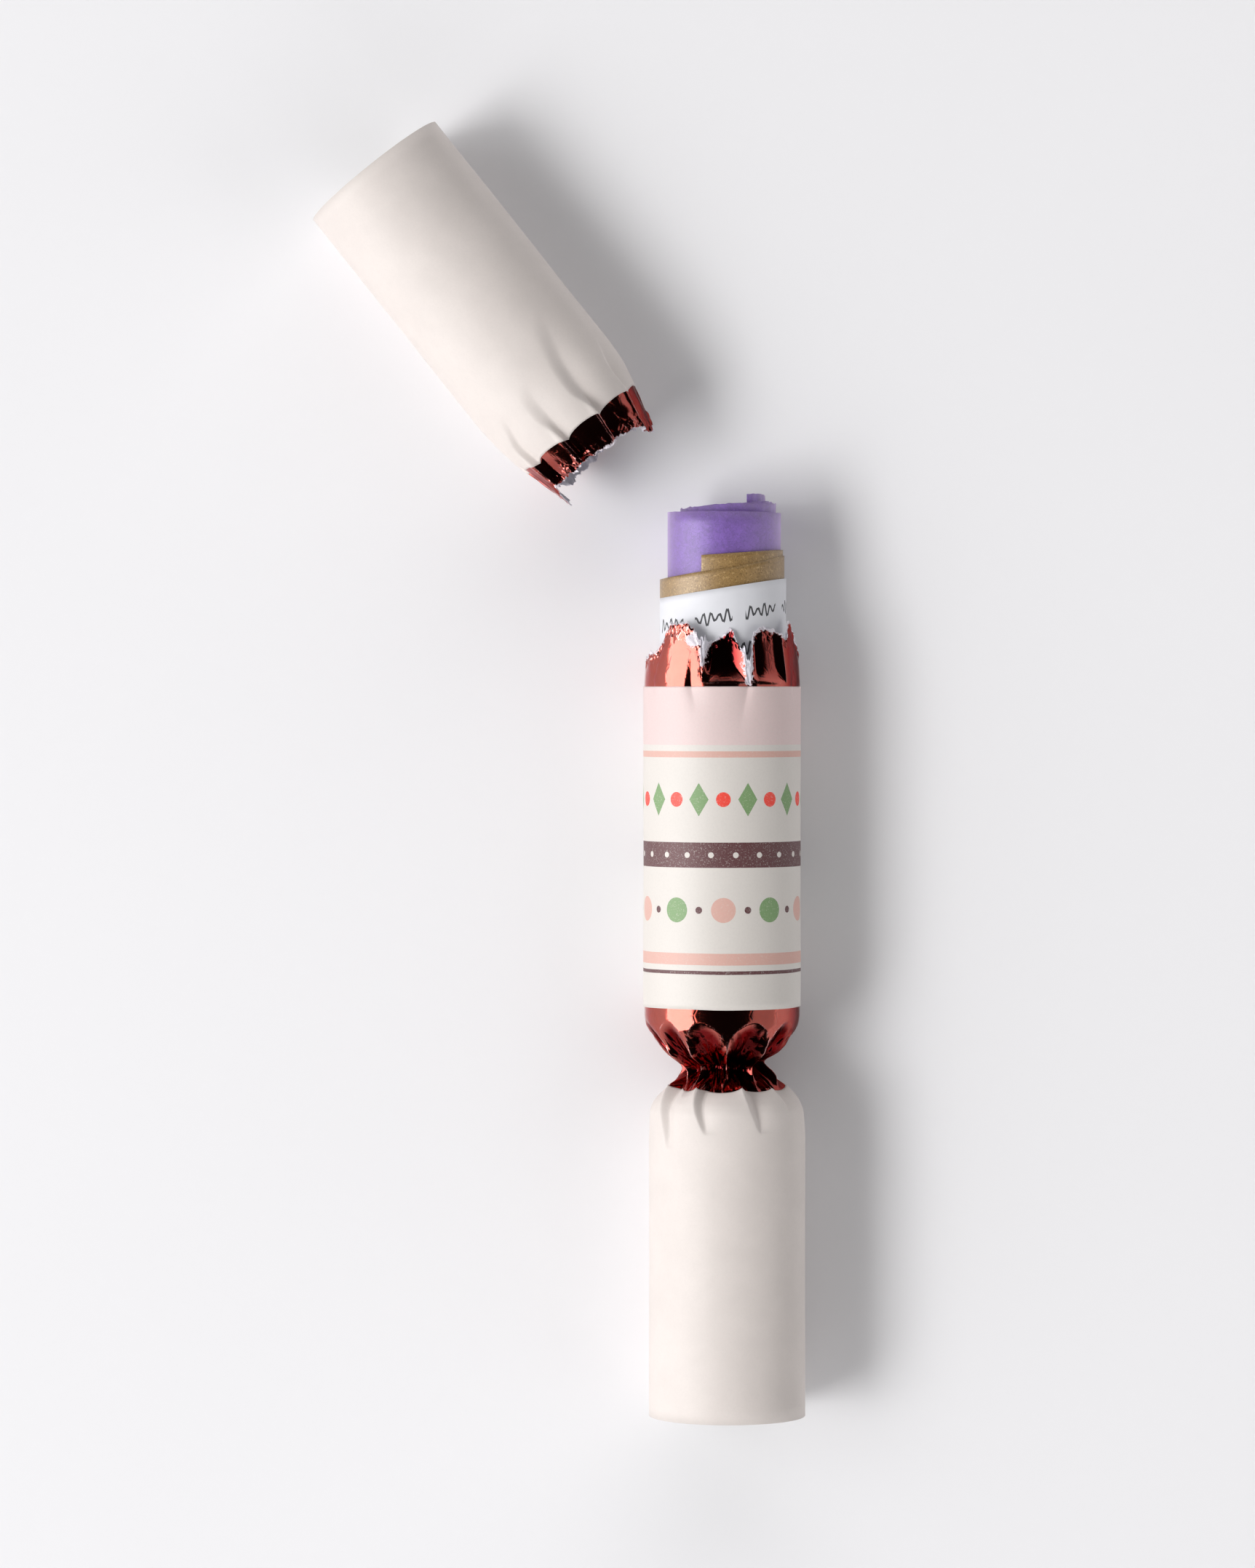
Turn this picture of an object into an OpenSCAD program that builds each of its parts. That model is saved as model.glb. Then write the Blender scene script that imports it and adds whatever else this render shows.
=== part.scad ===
// A paper cracker, pulled open. The barrel and one whole end lie in line along Y on the table, and
// the other end lies beside them, torn off at its foil neck. A rolled tissue hat, with a card strip
// and a paper slip wound round it, stands half out of the torn mouth.
//
// Angles round an axis are counted from the top, positive towards +X.

/* [Barrel] */
// Outside diameter of the barrel over its printed sleeve
barrel_d = 41; // [34:0.5:56]
// Length of the printed sleeve
barrel_cover_len = 83; // [76:1:110]
// How far the card tube runs past each edge of the printed sleeve
tube_reach = 2.5; // [1:0.5:4]

/* [Ends] */
// How much narrower each end is than the barrel
end_step = 0.3; // [0:0.1:2]
// Length of each cream sleeve
end_cover_len = 85.6; // [60:0.2:110]
// Gathered shoulder of each cream sleeve, from its inner edge to its card tube
shoulder_len = 13; // [10:0.5:18]
// Sideways set of the whole end, which has bent over a little at its choke
end_shift = 1.35; // [0:0.05:3]

/* [Choke] */
// Diameter of the foil neck over its folds where it is tightest
choke_d = 22.2; // [19:0.2:28]
// From the barrel's card tube to the choke
choke_back = 13.6; // [10:0.2:20]
// From the choke to the inner edge of the cream sleeve
choke_front = 5; // [4:0.2:8]
// Depth of the folds in the foil at the choke
fold_depth = 3; // [1.5:0.1:4]
// Turn of the folds on their way from the choke to the whole end's tube, in degrees
fold_lean = 18; // [0:1:24]
// How far the cream edge reaches over the foil at each fold
scallop = 1; // [0:0.1:1.6]

/* [Paper and card] */
// Thickness of the paper sleeves
cover_t = 0.2; // [0.1:0.05:0.4]
// Thickness of the paper-backed foil
foil_t = 0.15; // [0.1:0.05:0.3]
// Wall of the card tubes
tube_t = 0.6; // [0.4:0.1:1.2]
// Length of foil glued under each sleeve
foil_lap = 16; // [14:0.5:20]
// Gap between two layers of one wrap
lap_gap = 0.05; // [0.04:0.01:0.1]

/* [Torn neck] */
// Height of the torn foil collar above the printed sleeve, at its tallest
collar_h = 16.8; // [12:0.2:22]
// How far the collar is drawn in at that height
collar_in = 1.45; // [0.5:0.05:2]
// Depth of the collar's folds at its torn edge
collar_fold = 1.5; // [0.5:0.1:2]
// Length of the torn foil stub on the torn-off end, at its longest
stub_len = 15; // [10:0.5:20]
// How far the torn-off end is drawn in at the edge of its cream sleeve
torn_in = 2.1; // [1:0.1:4]
// How much further its stub is drawn in at the tips
stub_in = 3.75; // [1:0.05:5]
// Depth of the folds in the torn-off end's sleeve
torn_fold = 1.7; // [0.5:0.1:2.4]
// Height of the small teeth along the torn edges
tooth = 1.1; // [0.4:0.1:1.6]

/* [Place of the torn-off end] */
// Turn of the torn-off end from the barrel's line, in degrees
torn_turn = 38.5; // [20:0.5:60]
// Gap from the barrel's left side to the middle of the torn-off end's foil
torn_gap = 16.4; // [16:0.1:40]
// How far it lies beyond the barrel's mouth
torn_along = 66.7; // [60:0.1:90]

/* [Snap] */
// Length of the card strip that is wound round the roll
snap_len = 150; // [140:1:160]
// How far the other strip reaches past the foil, up under the printed sleeve
snap_reach = 18.6; // [18:0.2:24]
// Width of the strips
snap_w = 8; // [6:0.5:10]
// Thickness of the strips
snap_t = 0.25; // [0.2:0.05:0.3]
// Length of the paper sleeve that held the two strips together
snap_sleeve_len = 24; // [16:1:30]
// Length of the friction charge and of the rough patch that it rubs on
charge_len = 12; // [6:1:14]

/* [Rolled hat] */
// Length of the roll, which is the height of the folded hat
hat_len = 70; // [60:1:76]
// How far the roll's outer turn stands out of the mouth
hat_out = 44.8; // [38:0.2:52]
// Free room round the roll and its wraps in the barrel's tube
roll_room = 2.7; // [2:0.1:4]
// Sideways set of the roll in the barrel
roll_side = 0.45; // [0:0.05:0.8]
// Thickness of the rolled layers of tissue
hat_t = 0.8; // [0.4:0.1:1.2]
// Radius of the open core of the roll
hat_core_r = 9; // [6:0.5:10]
// How far the inner turns stand above the outer one
hat_rise = 3; // [0:0.2:5]
// Height of the folded corner above the inner turns
tab_h = 2.2; // [0:0.2:4]
// Height of the wound strip's upper edge above the mouth
strip_out = 31; // [29:0.5:34]
// How far the wound strip's edge rises and falls
strip_lean = 4; // [0:0.2:5]

/* [Motto slip] */
// Height of the slip along the roll
slip_h = 42; // [30:1:50]
// Length of the slip round the roll
slip_len = 115; // [104:1:125]
// Thickness of the slip
slip_t = 0.12; // [0.08:0.02:0.2]
// Height of the slip's upper edge above the mouth
slip_out = 25.5; // [22:0.5:28]
// How far that edge rises and falls
slip_lean = 2.6; // [0:0.2:4]

/* [Gift] */
// Diameter of the spinning top
gift_d = 24; // [16:1:26]
// Height of the spinning top's body
gift_h = 12; // [8:1:14]
// Diameter of its stem
stem_d = 4; // [3:0.5:5]
// Length of the stem that stands out of the body
stem_out = 13; // [8:1:16]

/* [Hidden] */
$fn = 96;

// Colours
card_grey = [0.82, 0.81, 0.79];
print_white = [0.94, 0.93, 0.91];
foil_red = [0.62, 0.16, 0.15];
cream = [0.93, 0.90, 0.87];
kraft = [0.65, 0.53, 0.33];
tissue_purple = [0.59, 0.43, 0.75];
slip_white = [0.95, 0.95, 0.97];
charge_grey = [0.35, 0.34, 0.36];
wood = [0.80, 0.62, 0.40];
stem_red = [0.75, 0.20, 0.18];

// Radii
barrel_r = barrel_d / 2;
end_r = barrel_r - end_step / 2;
choke_r = choke_d / 2;
torn_across = barrel_r + torn_gap;
torn_line_r = end_r - torn_in;
stub_tip_r = torn_line_r - stub_in;

// Depths of the layers under a sleeve's outer face
snap_room = 0.2;
under_cover = cover_t + lap_gap;
under_foil = under_cover + foil_t + lap_gap;
under_strip = under_foil + snap_t + snap_room;
barrel_tube_r = barrel_r - under_strip;
barrel_bore_r = barrel_tube_r - tube_t;
end_tube_r = end_r - under_strip;
end_bore_r = end_tube_r - tube_t;

// Places along the barrel's line, which has zero at the printed sleeve's upper edge
base_y = -barrel_cover_len;
barrel_tube_y = base_y - tube_reach;
choke_y = barrel_tube_y - choke_back;
line_y = choke_y - choke_front;
end_tube_y = line_y - shoulder_len;
rim_y = line_y - end_cover_len;
flare_len = choke_front + shoulder_len;

// The middle of the whole part seen from above, which is the origin
box_left = -torn_across - end_cover_len * sin(torn_turn) - end_r * cos(torn_turn);
box_right = end_shift + end_r;
box_back = torn_along + end_cover_len * cos(torn_turn) + end_r * sin(torn_turn);
mid_x = (box_left + box_right) / 2;
mid_y = (rim_y + box_back) / 2;
cut = tube_t;

// Columns round each wrap and the angle of each
cols = 72;
col_angles = [for (i = [0:cols - 1]) i * 360 / cols];

// Shape of the whole neck: share of the way from tube to choke, and share of the drop in radius
bowl_shares = [[0, 0], [0.19, 0.07], [0.47, 0.37], [0.74, 0.65], [0.88, 0.97], [1, 1]];
// The folds start on an arc: at this share of the way in a valley, and later towards each ridge
bowl_fold_start = 0.1;
bowl_fold_arc = 0.36;
// The same from the choke to the whole end's tube
flare_shares = [[0, 0], [0.12, 0.32], [0.23, 0.48], [0.33, 0.62], [0.54, 0.83], [0.75, 0.95], [1, 1]];
flare_fold_shares = [[0, 1], [0.3, 0.75], [0.5, 0.5], [0.75, 0.2], [1, 0]];
// Angles of the folds at the choke, and how much of each goes on into the cream sleeve
fold_angles = [-79, -50, -20, 22, 55, 92, 130, 168, 206, 244];
foil_fold_shares = [1, 1, 1, 1, 1, 1, 1, 1, 1, 1];
cream_fold_shares = [1, 0.15, 1, 1, 1, 0.8, 1, 0.7, 1, 0.8];
foil_fold_half = 15;
cream_fold_half = 11;
bowl_lean = 2;
flare_lean_shares = [[0, 0], [0.28, -0.3], [0.5, 0.1], [1, 0.7]];
// Rows of points along the neck
shoulder_row_shares = [1, 0.75, 0.5, 0.3, 0.14, 0];
front_row_shares = [0.38, 0.72];
bowl_row_shares = [0, 0.14, 0.3, 0.47, 0.63, 0.78, 0.9, 1];
shoulder_rows = [for (s = shoulder_row_shares) line_y - shoulder_len * s];
foil_rows = concat(
    [line_y - foil_lap],
    shoulder_rows,
    [for (s = front_row_shares) line_y + choke_front * s],
    [for (s = bowl_row_shares) choke_y + choke_back * s],
    [base_y + foil_lap]);
cover_rows = concat([rim_y, line_y - foil_lap], shoulder_rows);

// Shape of the torn-off end's shoulder, from the sleeve's edge to the tube
torn_shares = [[0, 0], [0.3, 0.5], [0.6, 0.84], [1, 1]];
torn_fold_shares = [[0, 1], [0.3, 0.8], [0.6, 0.45], [1, 0]];
torn_angles = [-58, -17, 22, 62, 101, 140, 180, 220, 261];
torn_fold_weights_shares = [0.9, 1, 0.9, 1, 0.8, 1, 0.7, 1, 0.8];
torn_row_shares = [0, 0.14, 0.3, 0.5, 0.75, 1];
torn_fold_half = 12;
torn_rows = [for (s = torn_row_shares) shoulder_len * s];
stub_row_shares = [1, 0.6, 0.3];

// Torn edges: angle, and share of the full height or length that is left there
collar_edge_shares = [[-180, 0.7], [-150, 0.62], [-142, 0.3], [-133, 0.75], [-108, 0.85], [-98, 0.6],
    [-90, 0.52], [-64, 0.56], [-57, 0.97], [-32, 1], [-24, 0.9], [-20, 0.5], [-17, 0.3], [-14, 0.62],
    [0, 0.78], [9, 0.92], [15, 0.68], [18, 0.06], [22, 0.86], [48, 0.86], [58, 0.78], [66, 0.98],
    [74, 0.92], [92, 0.66], [104, 0.7], [110, 0.25], [117, 0.72], [140, 0.84], [151, 0.4], [160, 0.66],
    [180, 0.7]];
stub_edge_shares = [[-180, 0.6], [-150, 0.66], [-128, 0.4], [-110, 0.5], [-92, 0.3], [-70, 0.36],
    [-58, 0.7], [-52, 1], [-46, 0.72], [-38, 0.62], [-17, 0.6], [0, 0.66], [22, 0.6], [40, 0.56],
    [56, 0.66], [64, 0.9], [72, 0.58], [90, 0.5], [120, 0.62], [140, 0.44], [160, 0.66], [180, 0.6]];
collar_angles = [-60, -22, 18, 63, 108, 150, 195, 240, 276];
collar_weights_shares = [0.8, 1, 1, 0.8, 1, 1, 1, 1, 1];
collar_fold_half = 13;
collar_row_shares = [0, 0.16, 0.4, 0.7, 1];
collar_sink = 0.8;

// The roll and what is wound round it, from the outside in
wrap_gap = 0.15;
wind_gap = 0.06;
rest_gap = 0.3;
wrap_r = barrel_bore_r - roll_room;
slip_turns = slip_len / (2 * PI * wrap_r);
slip_r = wrap_r - slip_t - (slip_t + wind_gap) * slip_turns;
strip_turns = snap_len / (2 * PI * (slip_r - wrap_gap - snap_t));
strip_r = slip_r - wrap_gap - snap_t - (snap_t + wind_gap) * strip_turns;
hat_r = strip_r - wrap_gap;
roll_z = barrel_r - barrel_bore_r + rest_gap + wrap_r;
hat_turns = 3.5;
hat_start = 30;
hat_lift = 0.5;
tab_arc = 55;
strip_start = -23;
slip_start = 150;
wind_step = 6;
hat_step = 10;
// Rise of the strip's edge, by turns from its inner end
strip_rise_shares = [[0, 0.72], [0.31, 1.12], [0.56, 0.25], [0.81, -0.8], [1.06, -0.15], [1.31, 0.75],
    [1.54, 0.12]];
charge_t = 0.05;
snap_sleeve_t = 0.07;
snap_inset = 2;
snap_sleeve_gap = 2.6;
strip_clear = 0.8;

// The gift
gift_r = gift_d / 2;
stem_r = stem_d / 2;
stem_in = gift_h / 2;
gift_y = barrel_tube_y + tube_reach;
gift_z = barrel_r - barrel_bore_r + rest_gap + gift_r;
knob_r = stem_r * 1.4;

function limited(t) = min(1, max(0, t));
function smooth(t) = let (c = limited(t)) c * c * (3 - 2 * c);
function mix(a, b, t) = a + (b - a) * t;
function apart(a, b) = abs((a - b + 900) % 360 - 180);
function bump(t) = t < 1 ? (1 + cos(180 * t)) / 2 : 0;

// How far into a fold a point at angle a lies, from 0 on a ridge to 1 in a valley
function fold_at(a, angles, weights, half) =
    max([for (k = [0:len(angles) - 1]) weights[k] * bump(apart(a, angles[k]) / half)]);

// A point at radius r and angle a round an axis along Y
function round_y(r, a, x, y, z) = [x + r * sin(a), y, z + r * cos(a)];

// Share of the way along the neck, from the barrel's tube to the whole end's
function neck_share(y) = smooth((barrel_tube_y - y) / (barrel_tube_y - end_tube_y));
function neck_x(y) = end_shift * neck_share(y);
function neck_z(y) = mix(barrel_r, end_r, neck_share(y));

// Radius over the folds, and the depth of the folds, at a place along the neck
function neck_r(y) = y >= choke_y
    ? mix(barrel_r, choke_r, lookup((barrel_tube_y - y) / choke_back, bowl_shares))
    : mix(choke_r, end_r, lookup((choke_y - y) / flare_len, flare_shares));
function bowl_fold_share(s, f) =
    let (start = bowl_fold_start + bowl_fold_arc * (1 - f))
    let (t = limited((s - start) / (1 - start)))
    t * (2 - t);
function neck_fold_share(y, f) = y >= choke_y
    ? bowl_fold_share((barrel_tube_y - y) / choke_back, f)
    : lookup((choke_y - y) / flare_len, flare_fold_shares);
function neck_lean(y) = y >= choke_y
    ? bowl_lean * (y - choke_y) / choke_back
    : fold_lean * lookup((choke_y - y) / flare_len, flare_lean_shares);
function neck_fold(y, a) =
    let (c = smooth((choke_y - y) / choke_front))
    let (weights = [for (k = [0:len(fold_angles) - 1]) mix(foil_fold_shares[k], cream_fold_shares[k], c)])
    fold_at(a - neck_lean(y), fold_angles, weights, mix(foil_fold_half, cream_fold_half, c));

// A point of the neck's surface, moved in by inset. Near the cream edge the rows bend with the folds.
function neck_point(y, a, inset) =
    let (f = neck_fold(y, a))
    let (over = scallop * f * bump(abs(y - line_y) / choke_front))
    round_y(neck_r(y) - fold_depth * neck_fold_share(y, f) * f - inset, a, neck_x(y), y + over, neck_z(y));
function neck_rows(rows, inset) = [for (y = rows) [for (a = col_angles) neck_point(y, a, inset)]];

// The torn-off end about its own axis: s runs from the cream edge to the rim
function torn_r(s) = s >= 0
    ? mix(torn_line_r, end_r, lookup(s / shoulder_len, torn_shares))
    : mix(torn_line_r, stub_tip_r, -s / stub_len);
function torn_point(s, a, inset) =
    let (f = fold_at(a, torn_angles, torn_fold_weights_shares, torn_fold_half))
    let (over = scallop * f * bump(abs(s) / choke_front))
    let (depth = torn_fold * (s >= 0 ? lookup(s / shoulder_len, torn_fold_shares) : 1))
    round_y(torn_r(s) - depth * f - inset, a, 0, s - over, end_r);
function torn_rows_at(rows, inset) = [for (s = rows) [for (a = col_angles) torn_point(s, a, inset)]];

// Teeth of a torn edge: a different height at each column
function tooth_at(i) = tooth * (sin(i * 137) + sin(i * 71)) / 2;
function signed(a) = a > 180 ? a - 360 : a;
function collar_top(i) = max(tooth / 4, collar_h * lookup(signed(col_angles[i]), collar_edge_shares) + tooth_at(i));
function stub_end(i) = stub_len * lookup(signed(col_angles[i]), stub_edge_shares) + tooth_at(i + cols);

// The collar leans in towards its torn edge, and its underside stays down on the table
function collar_point(h, a, inset) =
    let (t = limited((h - tube_reach) / (collar_h - tube_reach)))
    let (f = fold_at(a, collar_angles, collar_weights_shares, collar_fold_half) * (1 + cos(a)) / 2)
    let (r = barrel_r - under_cover - collar_in * t - collar_fold * smooth(t) * f - inset)
    round_y(r, a, 0, h, barrel_r - collar_sink * t);
function collar_rows(inset) = concat(
    [[for (a = col_angles) collar_point(0, a, inset) - [0, foil_lap, 0]]],
    [for (s = collar_row_shares) [for (i = [0:cols - 1]) collar_point(s * collar_top(i), col_angles[i], inset)]]);
function stub_rows(inset) = concat(
    [for (s = stub_row_shares) [for (i = [0:cols - 1]) torn_point(-s * stub_end(i), col_angles[i], inset)]],
    torn_rows_at(torn_rows, inset),
    torn_rows_at([foil_lap], inset));

// The lower strip runs under the whole end's wraps, through the choke and up under the barrel's sleeve
strip_half_cols = 2;
function strip_radius(y) =
    neck_r(y) - under_foil - (fold_depth + strip_clear) * neck_fold_share(y, 1);
strip_foot_y = rim_y + snap_inset;
foil_top_y = base_y + foil_lap;
strip_top_y = foil_top_y + snap_reach;
snap_sleeve_y = foil_top_y + snap_sleeve_gap;
function strip_point(y, k, inset, width, out) =
    let (r = strip_radius(y))
    round_y(r + out - inset, 180 + k * width / 2 / strip_half_cols / r * 180 / PI, neck_x(y), y, neck_z(y));
function strip_rows(rows, inset, width, out) =
    [for (y = rows) [for (k = [-strip_half_cols:strip_half_cols]) strip_point(y, k, inset, width, out)]];

// A sheet wound round the roll: radius of its inner face at the start, gain per turn, edges by angle
function wound_angles(start, turns, step) =
    let (count = ceil(turns * 360 / step))
    [for (i = [0:count]) start + turns * 360 * i / count];
function wound_point(a, start, r, gain, y) = round_y(r + gain * (a - start) / 360, a, roll_side, y, roll_z);
function strip_edge(a) = strip_out + strip_lean * lookup((a - strip_start) / 360, strip_rise_shares);
function slip_edge(a) = slip_out + slip_lean * sin(a);
function hat_share(a) = (a - hat_start) / (hat_turns * 360);
function hat_edge(a) = hat_out + hat_rise * smooth(2 * (1 - hat_share(a))) + hat_lift * (1 - hat_share(a)) * sin(a);
function hat_tab(a) = tab_h * limited((tab_arc - (a - hat_start)) / hat_step);
hat_gain = (hat_r - hat_t - hat_core_r) / hat_turns;
strip_gain = snap_t + wind_gap;
slip_gain = slip_t + wind_gap;

// Triangles over a grid of points with n in a row, and over its edges, clockwise from outside
function face_tris(m, n, first, closed, flip) = [
    for (i = [0:m - 2], j = [0:closed ? n - 1 : n - 2])
        let (a = first + i * n + j)
        let (b = first + i * n + (j + 1) % n)
        each (flip ? [[a, b, b + n], [a, b + n, a + n]] : [[a, b + n, b], [a, a + n, b + n]])];
function row_tris(i, n, other, closed, flip) = [
    for (j = [0:closed ? n - 1 : n - 2])
        let (a = i * n + j)
        let (b = i * n + (j + 1) % n)
        each (flip ? [[a, b + other, b], [a, a + other, b + other]] : [[a, b, b + other], [a, b + other, a + other]])];
function side_tris(m, n, j, other, flip) = [
    for (i = [0:m - 2])
        let (a = i * n + j)
        let (d = a + n)
        each (flip ? [[a, d, d + other], [a, d + other, a + other]] : [[d, a, a + other], [d, a + other, d + other]])];

// A sheet of paper between an outer and an inner grid of points, with its rows towards +Y
module paper(outer, inner, closed) {
    m = len(outer);
    n = len(outer[0]);
    other = m * n;
    faces = concat(
        face_tris(m, n, 0, closed, false),
        face_tris(m, n, other, closed, true),
        row_tris(0, n, other, closed, false),
        row_tris(m - 1, n, other, closed, true),
        closed ? [] : side_tris(m, n, 0, other, false),
        closed ? [] : side_tris(m, n, n - 1, other, true));
    polyhedron(points = concat([for (row = outer) each row], [for (row = inner) each row]), faces = faces);
}

// A sheet wound round the roll, from its lower to its upper edges, listed by angle
module wound(angles, start, r, gain, t, lower, upper) {
    paper(
        [for (edge = [lower, upper]) [for (i = [0:len(angles) - 1])
            wound_point(angles[i], start, r + t, gain, edge[i])]],
        [for (edge = [lower, upper]) [for (i = [0:len(angles) - 1])
            wound_point(angles[i], start, r, gain, edge[i])]],
        false);
}

// A card tube or sleeve along Y
module sleeve(r, t, y0, y1, x, z) {
    translate([x, y0, z])
        rotate([-90, 0, 0])
            difference() {
                cylinder(r = r, h = y1 - y0);
                translate([0, 0, -cut])
                    cylinder(r = r - t, h = y1 - y0 + 2 * cut);
            }
}

// A plate bent round the barrel's axis at its underside
module bent_plate(r0, r1, width, y0, len) {
    sweep = width / r1 * 180 / PI;
    translate([0, y0, barrel_r])
        rotate([-90, 0, 0])
            rotate([0, 0, 90 - sweep / 2])
                rotate_extrude(angle = sweep)
                    translate([r0, 0])
                        square([r1 - r0, len]);
}

module placed() {
    translate([-mid_x, -mid_y, 0])
        children();
}

module torn_placed() {
    placed()
        translate([-torn_across, torn_along, 0])
            rotate([0, 0, torn_turn])
                children();
}

module barrel_tube() {
    color(card_grey)
        placed()
            sleeve(barrel_tube_r, tube_t, barrel_tube_y, tube_reach, 0, barrel_r);
}

module barrel_cover() {
    color(print_white)
        placed()
            sleeve(barrel_r, cover_t, base_y, 0, 0, barrel_r);
}

module foil_collar() {
    color(foil_red)
        placed()
            paper(collar_rows(0), collar_rows(foil_t), true);
}

module neck_foil() {
    color(foil_red)
        placed()
            paper(neck_rows(foil_rows, under_cover), neck_rows(foil_rows, under_cover + foil_t), true);
}

module end_tube() {
    color(card_grey)
        placed()
            sleeve(end_tube_r, tube_t, rim_y, end_tube_y, end_shift, end_r);
}

module end_cover() {
    color(cream)
        placed()
            paper(neck_rows(cover_rows, 0), neck_rows(cover_rows, cover_t), true);
}

module snap_strip_lower() {
    rows = concat([strip_foot_y], foil_rows, [strip_top_y]);
    color(kraft)
        placed()
            paper(strip_rows(rows, 0, snap_w, 0), strip_rows(rows, snap_t, snap_w, 0), false);
}

module snap_charge() {
    rows = [strip_top_y - charge_len, strip_top_y];
    color(charge_grey)
        placed()
            paper(strip_rows(rows, 0, snap_w / 2, charge_t), strip_rows(rows, 0, snap_w / 2, 0), false);
}

module snap_sleeve() {
    face_r = barrel_r - under_foil;
    room = charge_t + lap_gap / 2;
    color(print_white)
        placed()
            difference() {
                bent_plate(face_r - snap_t - lap_gap - snap_sleeve_t, face_r + room + snap_sleeve_t,
                    snap_w + 2 * snap_sleeve_t + 2 * lap_gap, snap_sleeve_y, snap_sleeve_len);
                bent_plate(face_r - snap_t - lap_gap, face_r + room,
                    snap_w + 2 * lap_gap, snap_sleeve_y - cut, snap_sleeve_len + 2 * cut);
            }
}

module hat_roll() {
    angles = wound_angles(hat_start, hat_turns, hat_step);
    color(tissue_purple)
        placed()
            wound(angles, hat_start, hat_core_r, hat_gain, hat_t,
                [for (a = angles) hat_edge(a) - hat_len], [for (a = angles) hat_edge(a) + hat_tab(a)]);
}

module snap_strip_upper() {
    angles = wound_angles(strip_start, strip_turns, wind_step);
    color(kraft)
        placed()
            wound(angles, strip_start, strip_r, strip_gain, snap_t,
                [for (a = angles) strip_edge(a) - snap_w], [for (a = angles) strip_edge(a)]);
}

module snap_striker() {
    angles = wound_angles(strip_start, strip_turns, wind_step);
    last = len(angles) - 1;
    count = ceil(charge_len / (2 * PI * strip_r) * 360 / wind_step);
    part = [for (i = [last - count:last]) angles[i]];
    color(charge_grey)
        placed()
            wound(part, strip_start, strip_r + snap_t, strip_gain, charge_t,
                [for (a = part) strip_edge(a) - snap_w * 3 / 4], [for (a = part) strip_edge(a) - snap_w / 4]);
}

module motto_slip() {
    angles = wound_angles(slip_start, slip_turns, wind_step);
    color(slip_white)
        placed()
            wound(angles, slip_start, slip_r, slip_gain, slip_t,
                [for (a = angles) slip_edge(a) - slip_h], [for (a = angles) slip_edge(a)]);
}

// Half outline of the spinning top: a point, a full belly and a shallow dome under the stem
top_outline_shares = [[0, 0], [0.1, 0.02], [0.3, 0.16], [0.62, 0.3], [0.88, 0.4], [0.98, 0.5], [1, 0.58],
    [0.97, 0.66], [0.86, 0.74], [0.6, 0.83], [0.36, 0.9], [0.28, 1], [0, 1]];

module top_body() {
    color(wood)
        placed()
            translate([0, gift_y, gift_z])
                rotate([-90, 0, 0])
                    difference() {
                        rotate_extrude()
                            polygon([for (p = top_outline_shares) [p[0] * gift_r, p[1] * gift_h]]);
                        translate([0, 0, gift_h - stem_in])
                            cylinder(r = stem_r, h = stem_in + cut);
                    }
}

module top_stem() {
    color(stem_red)
        placed()
            translate([0, gift_y + gift_h - stem_in, gift_z])
                rotate([-90, 0, 0]) {
                    cylinder(r = stem_r, h = stem_in + stem_out - knob_r / 2);
                    translate([0, 0, stem_in + stem_out - knob_r])
                        sphere(r = knob_r);
                }
}

module torn_end_tube() {
    color(card_grey)
        torn_placed()
            sleeve(end_tube_r, tube_t, shoulder_len, end_cover_len, 0, end_r);
}

module torn_end_cover() {
    rows = concat(torn_rows, [foil_lap, end_cover_len]);
    color(cream)
        torn_placed()
            paper(torn_rows_at(rows, 0), torn_rows_at(rows, cover_t), true);
}

module torn_end_foil() {
    color(foil_red)
        torn_placed()
            paper(stub_rows(under_cover), stub_rows(under_cover + foil_t), true);
}

barrel_tube();
barrel_cover();
foil_collar();
neck_foil();
end_tube();
end_cover();
snap_strip_lower();
snap_charge();
snap_sleeve();
hat_roll();
snap_strip_upper();
snap_striker();
motto_slip();
top_body();
top_stem();
torn_end_tube();
torn_end_cover();
torn_end_foil();
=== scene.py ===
# %% [markdown]
# # Christmas cracker, pulled open
#
# A paper cracker on a pale table, seen from straight above. The barrel and one whole end lie in line. The
# other end is torn off at its foil neck. A rolled tissue hat, a card strip and a paper slip stand out of
# the torn mouth.
#
# Most of it is thin sheet, so each piece here is one surface worked out on a grid and given its
# thickness. The imported model gives the frame: its printed sleeve's box places every piece.

# %% Frame
import math

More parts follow.
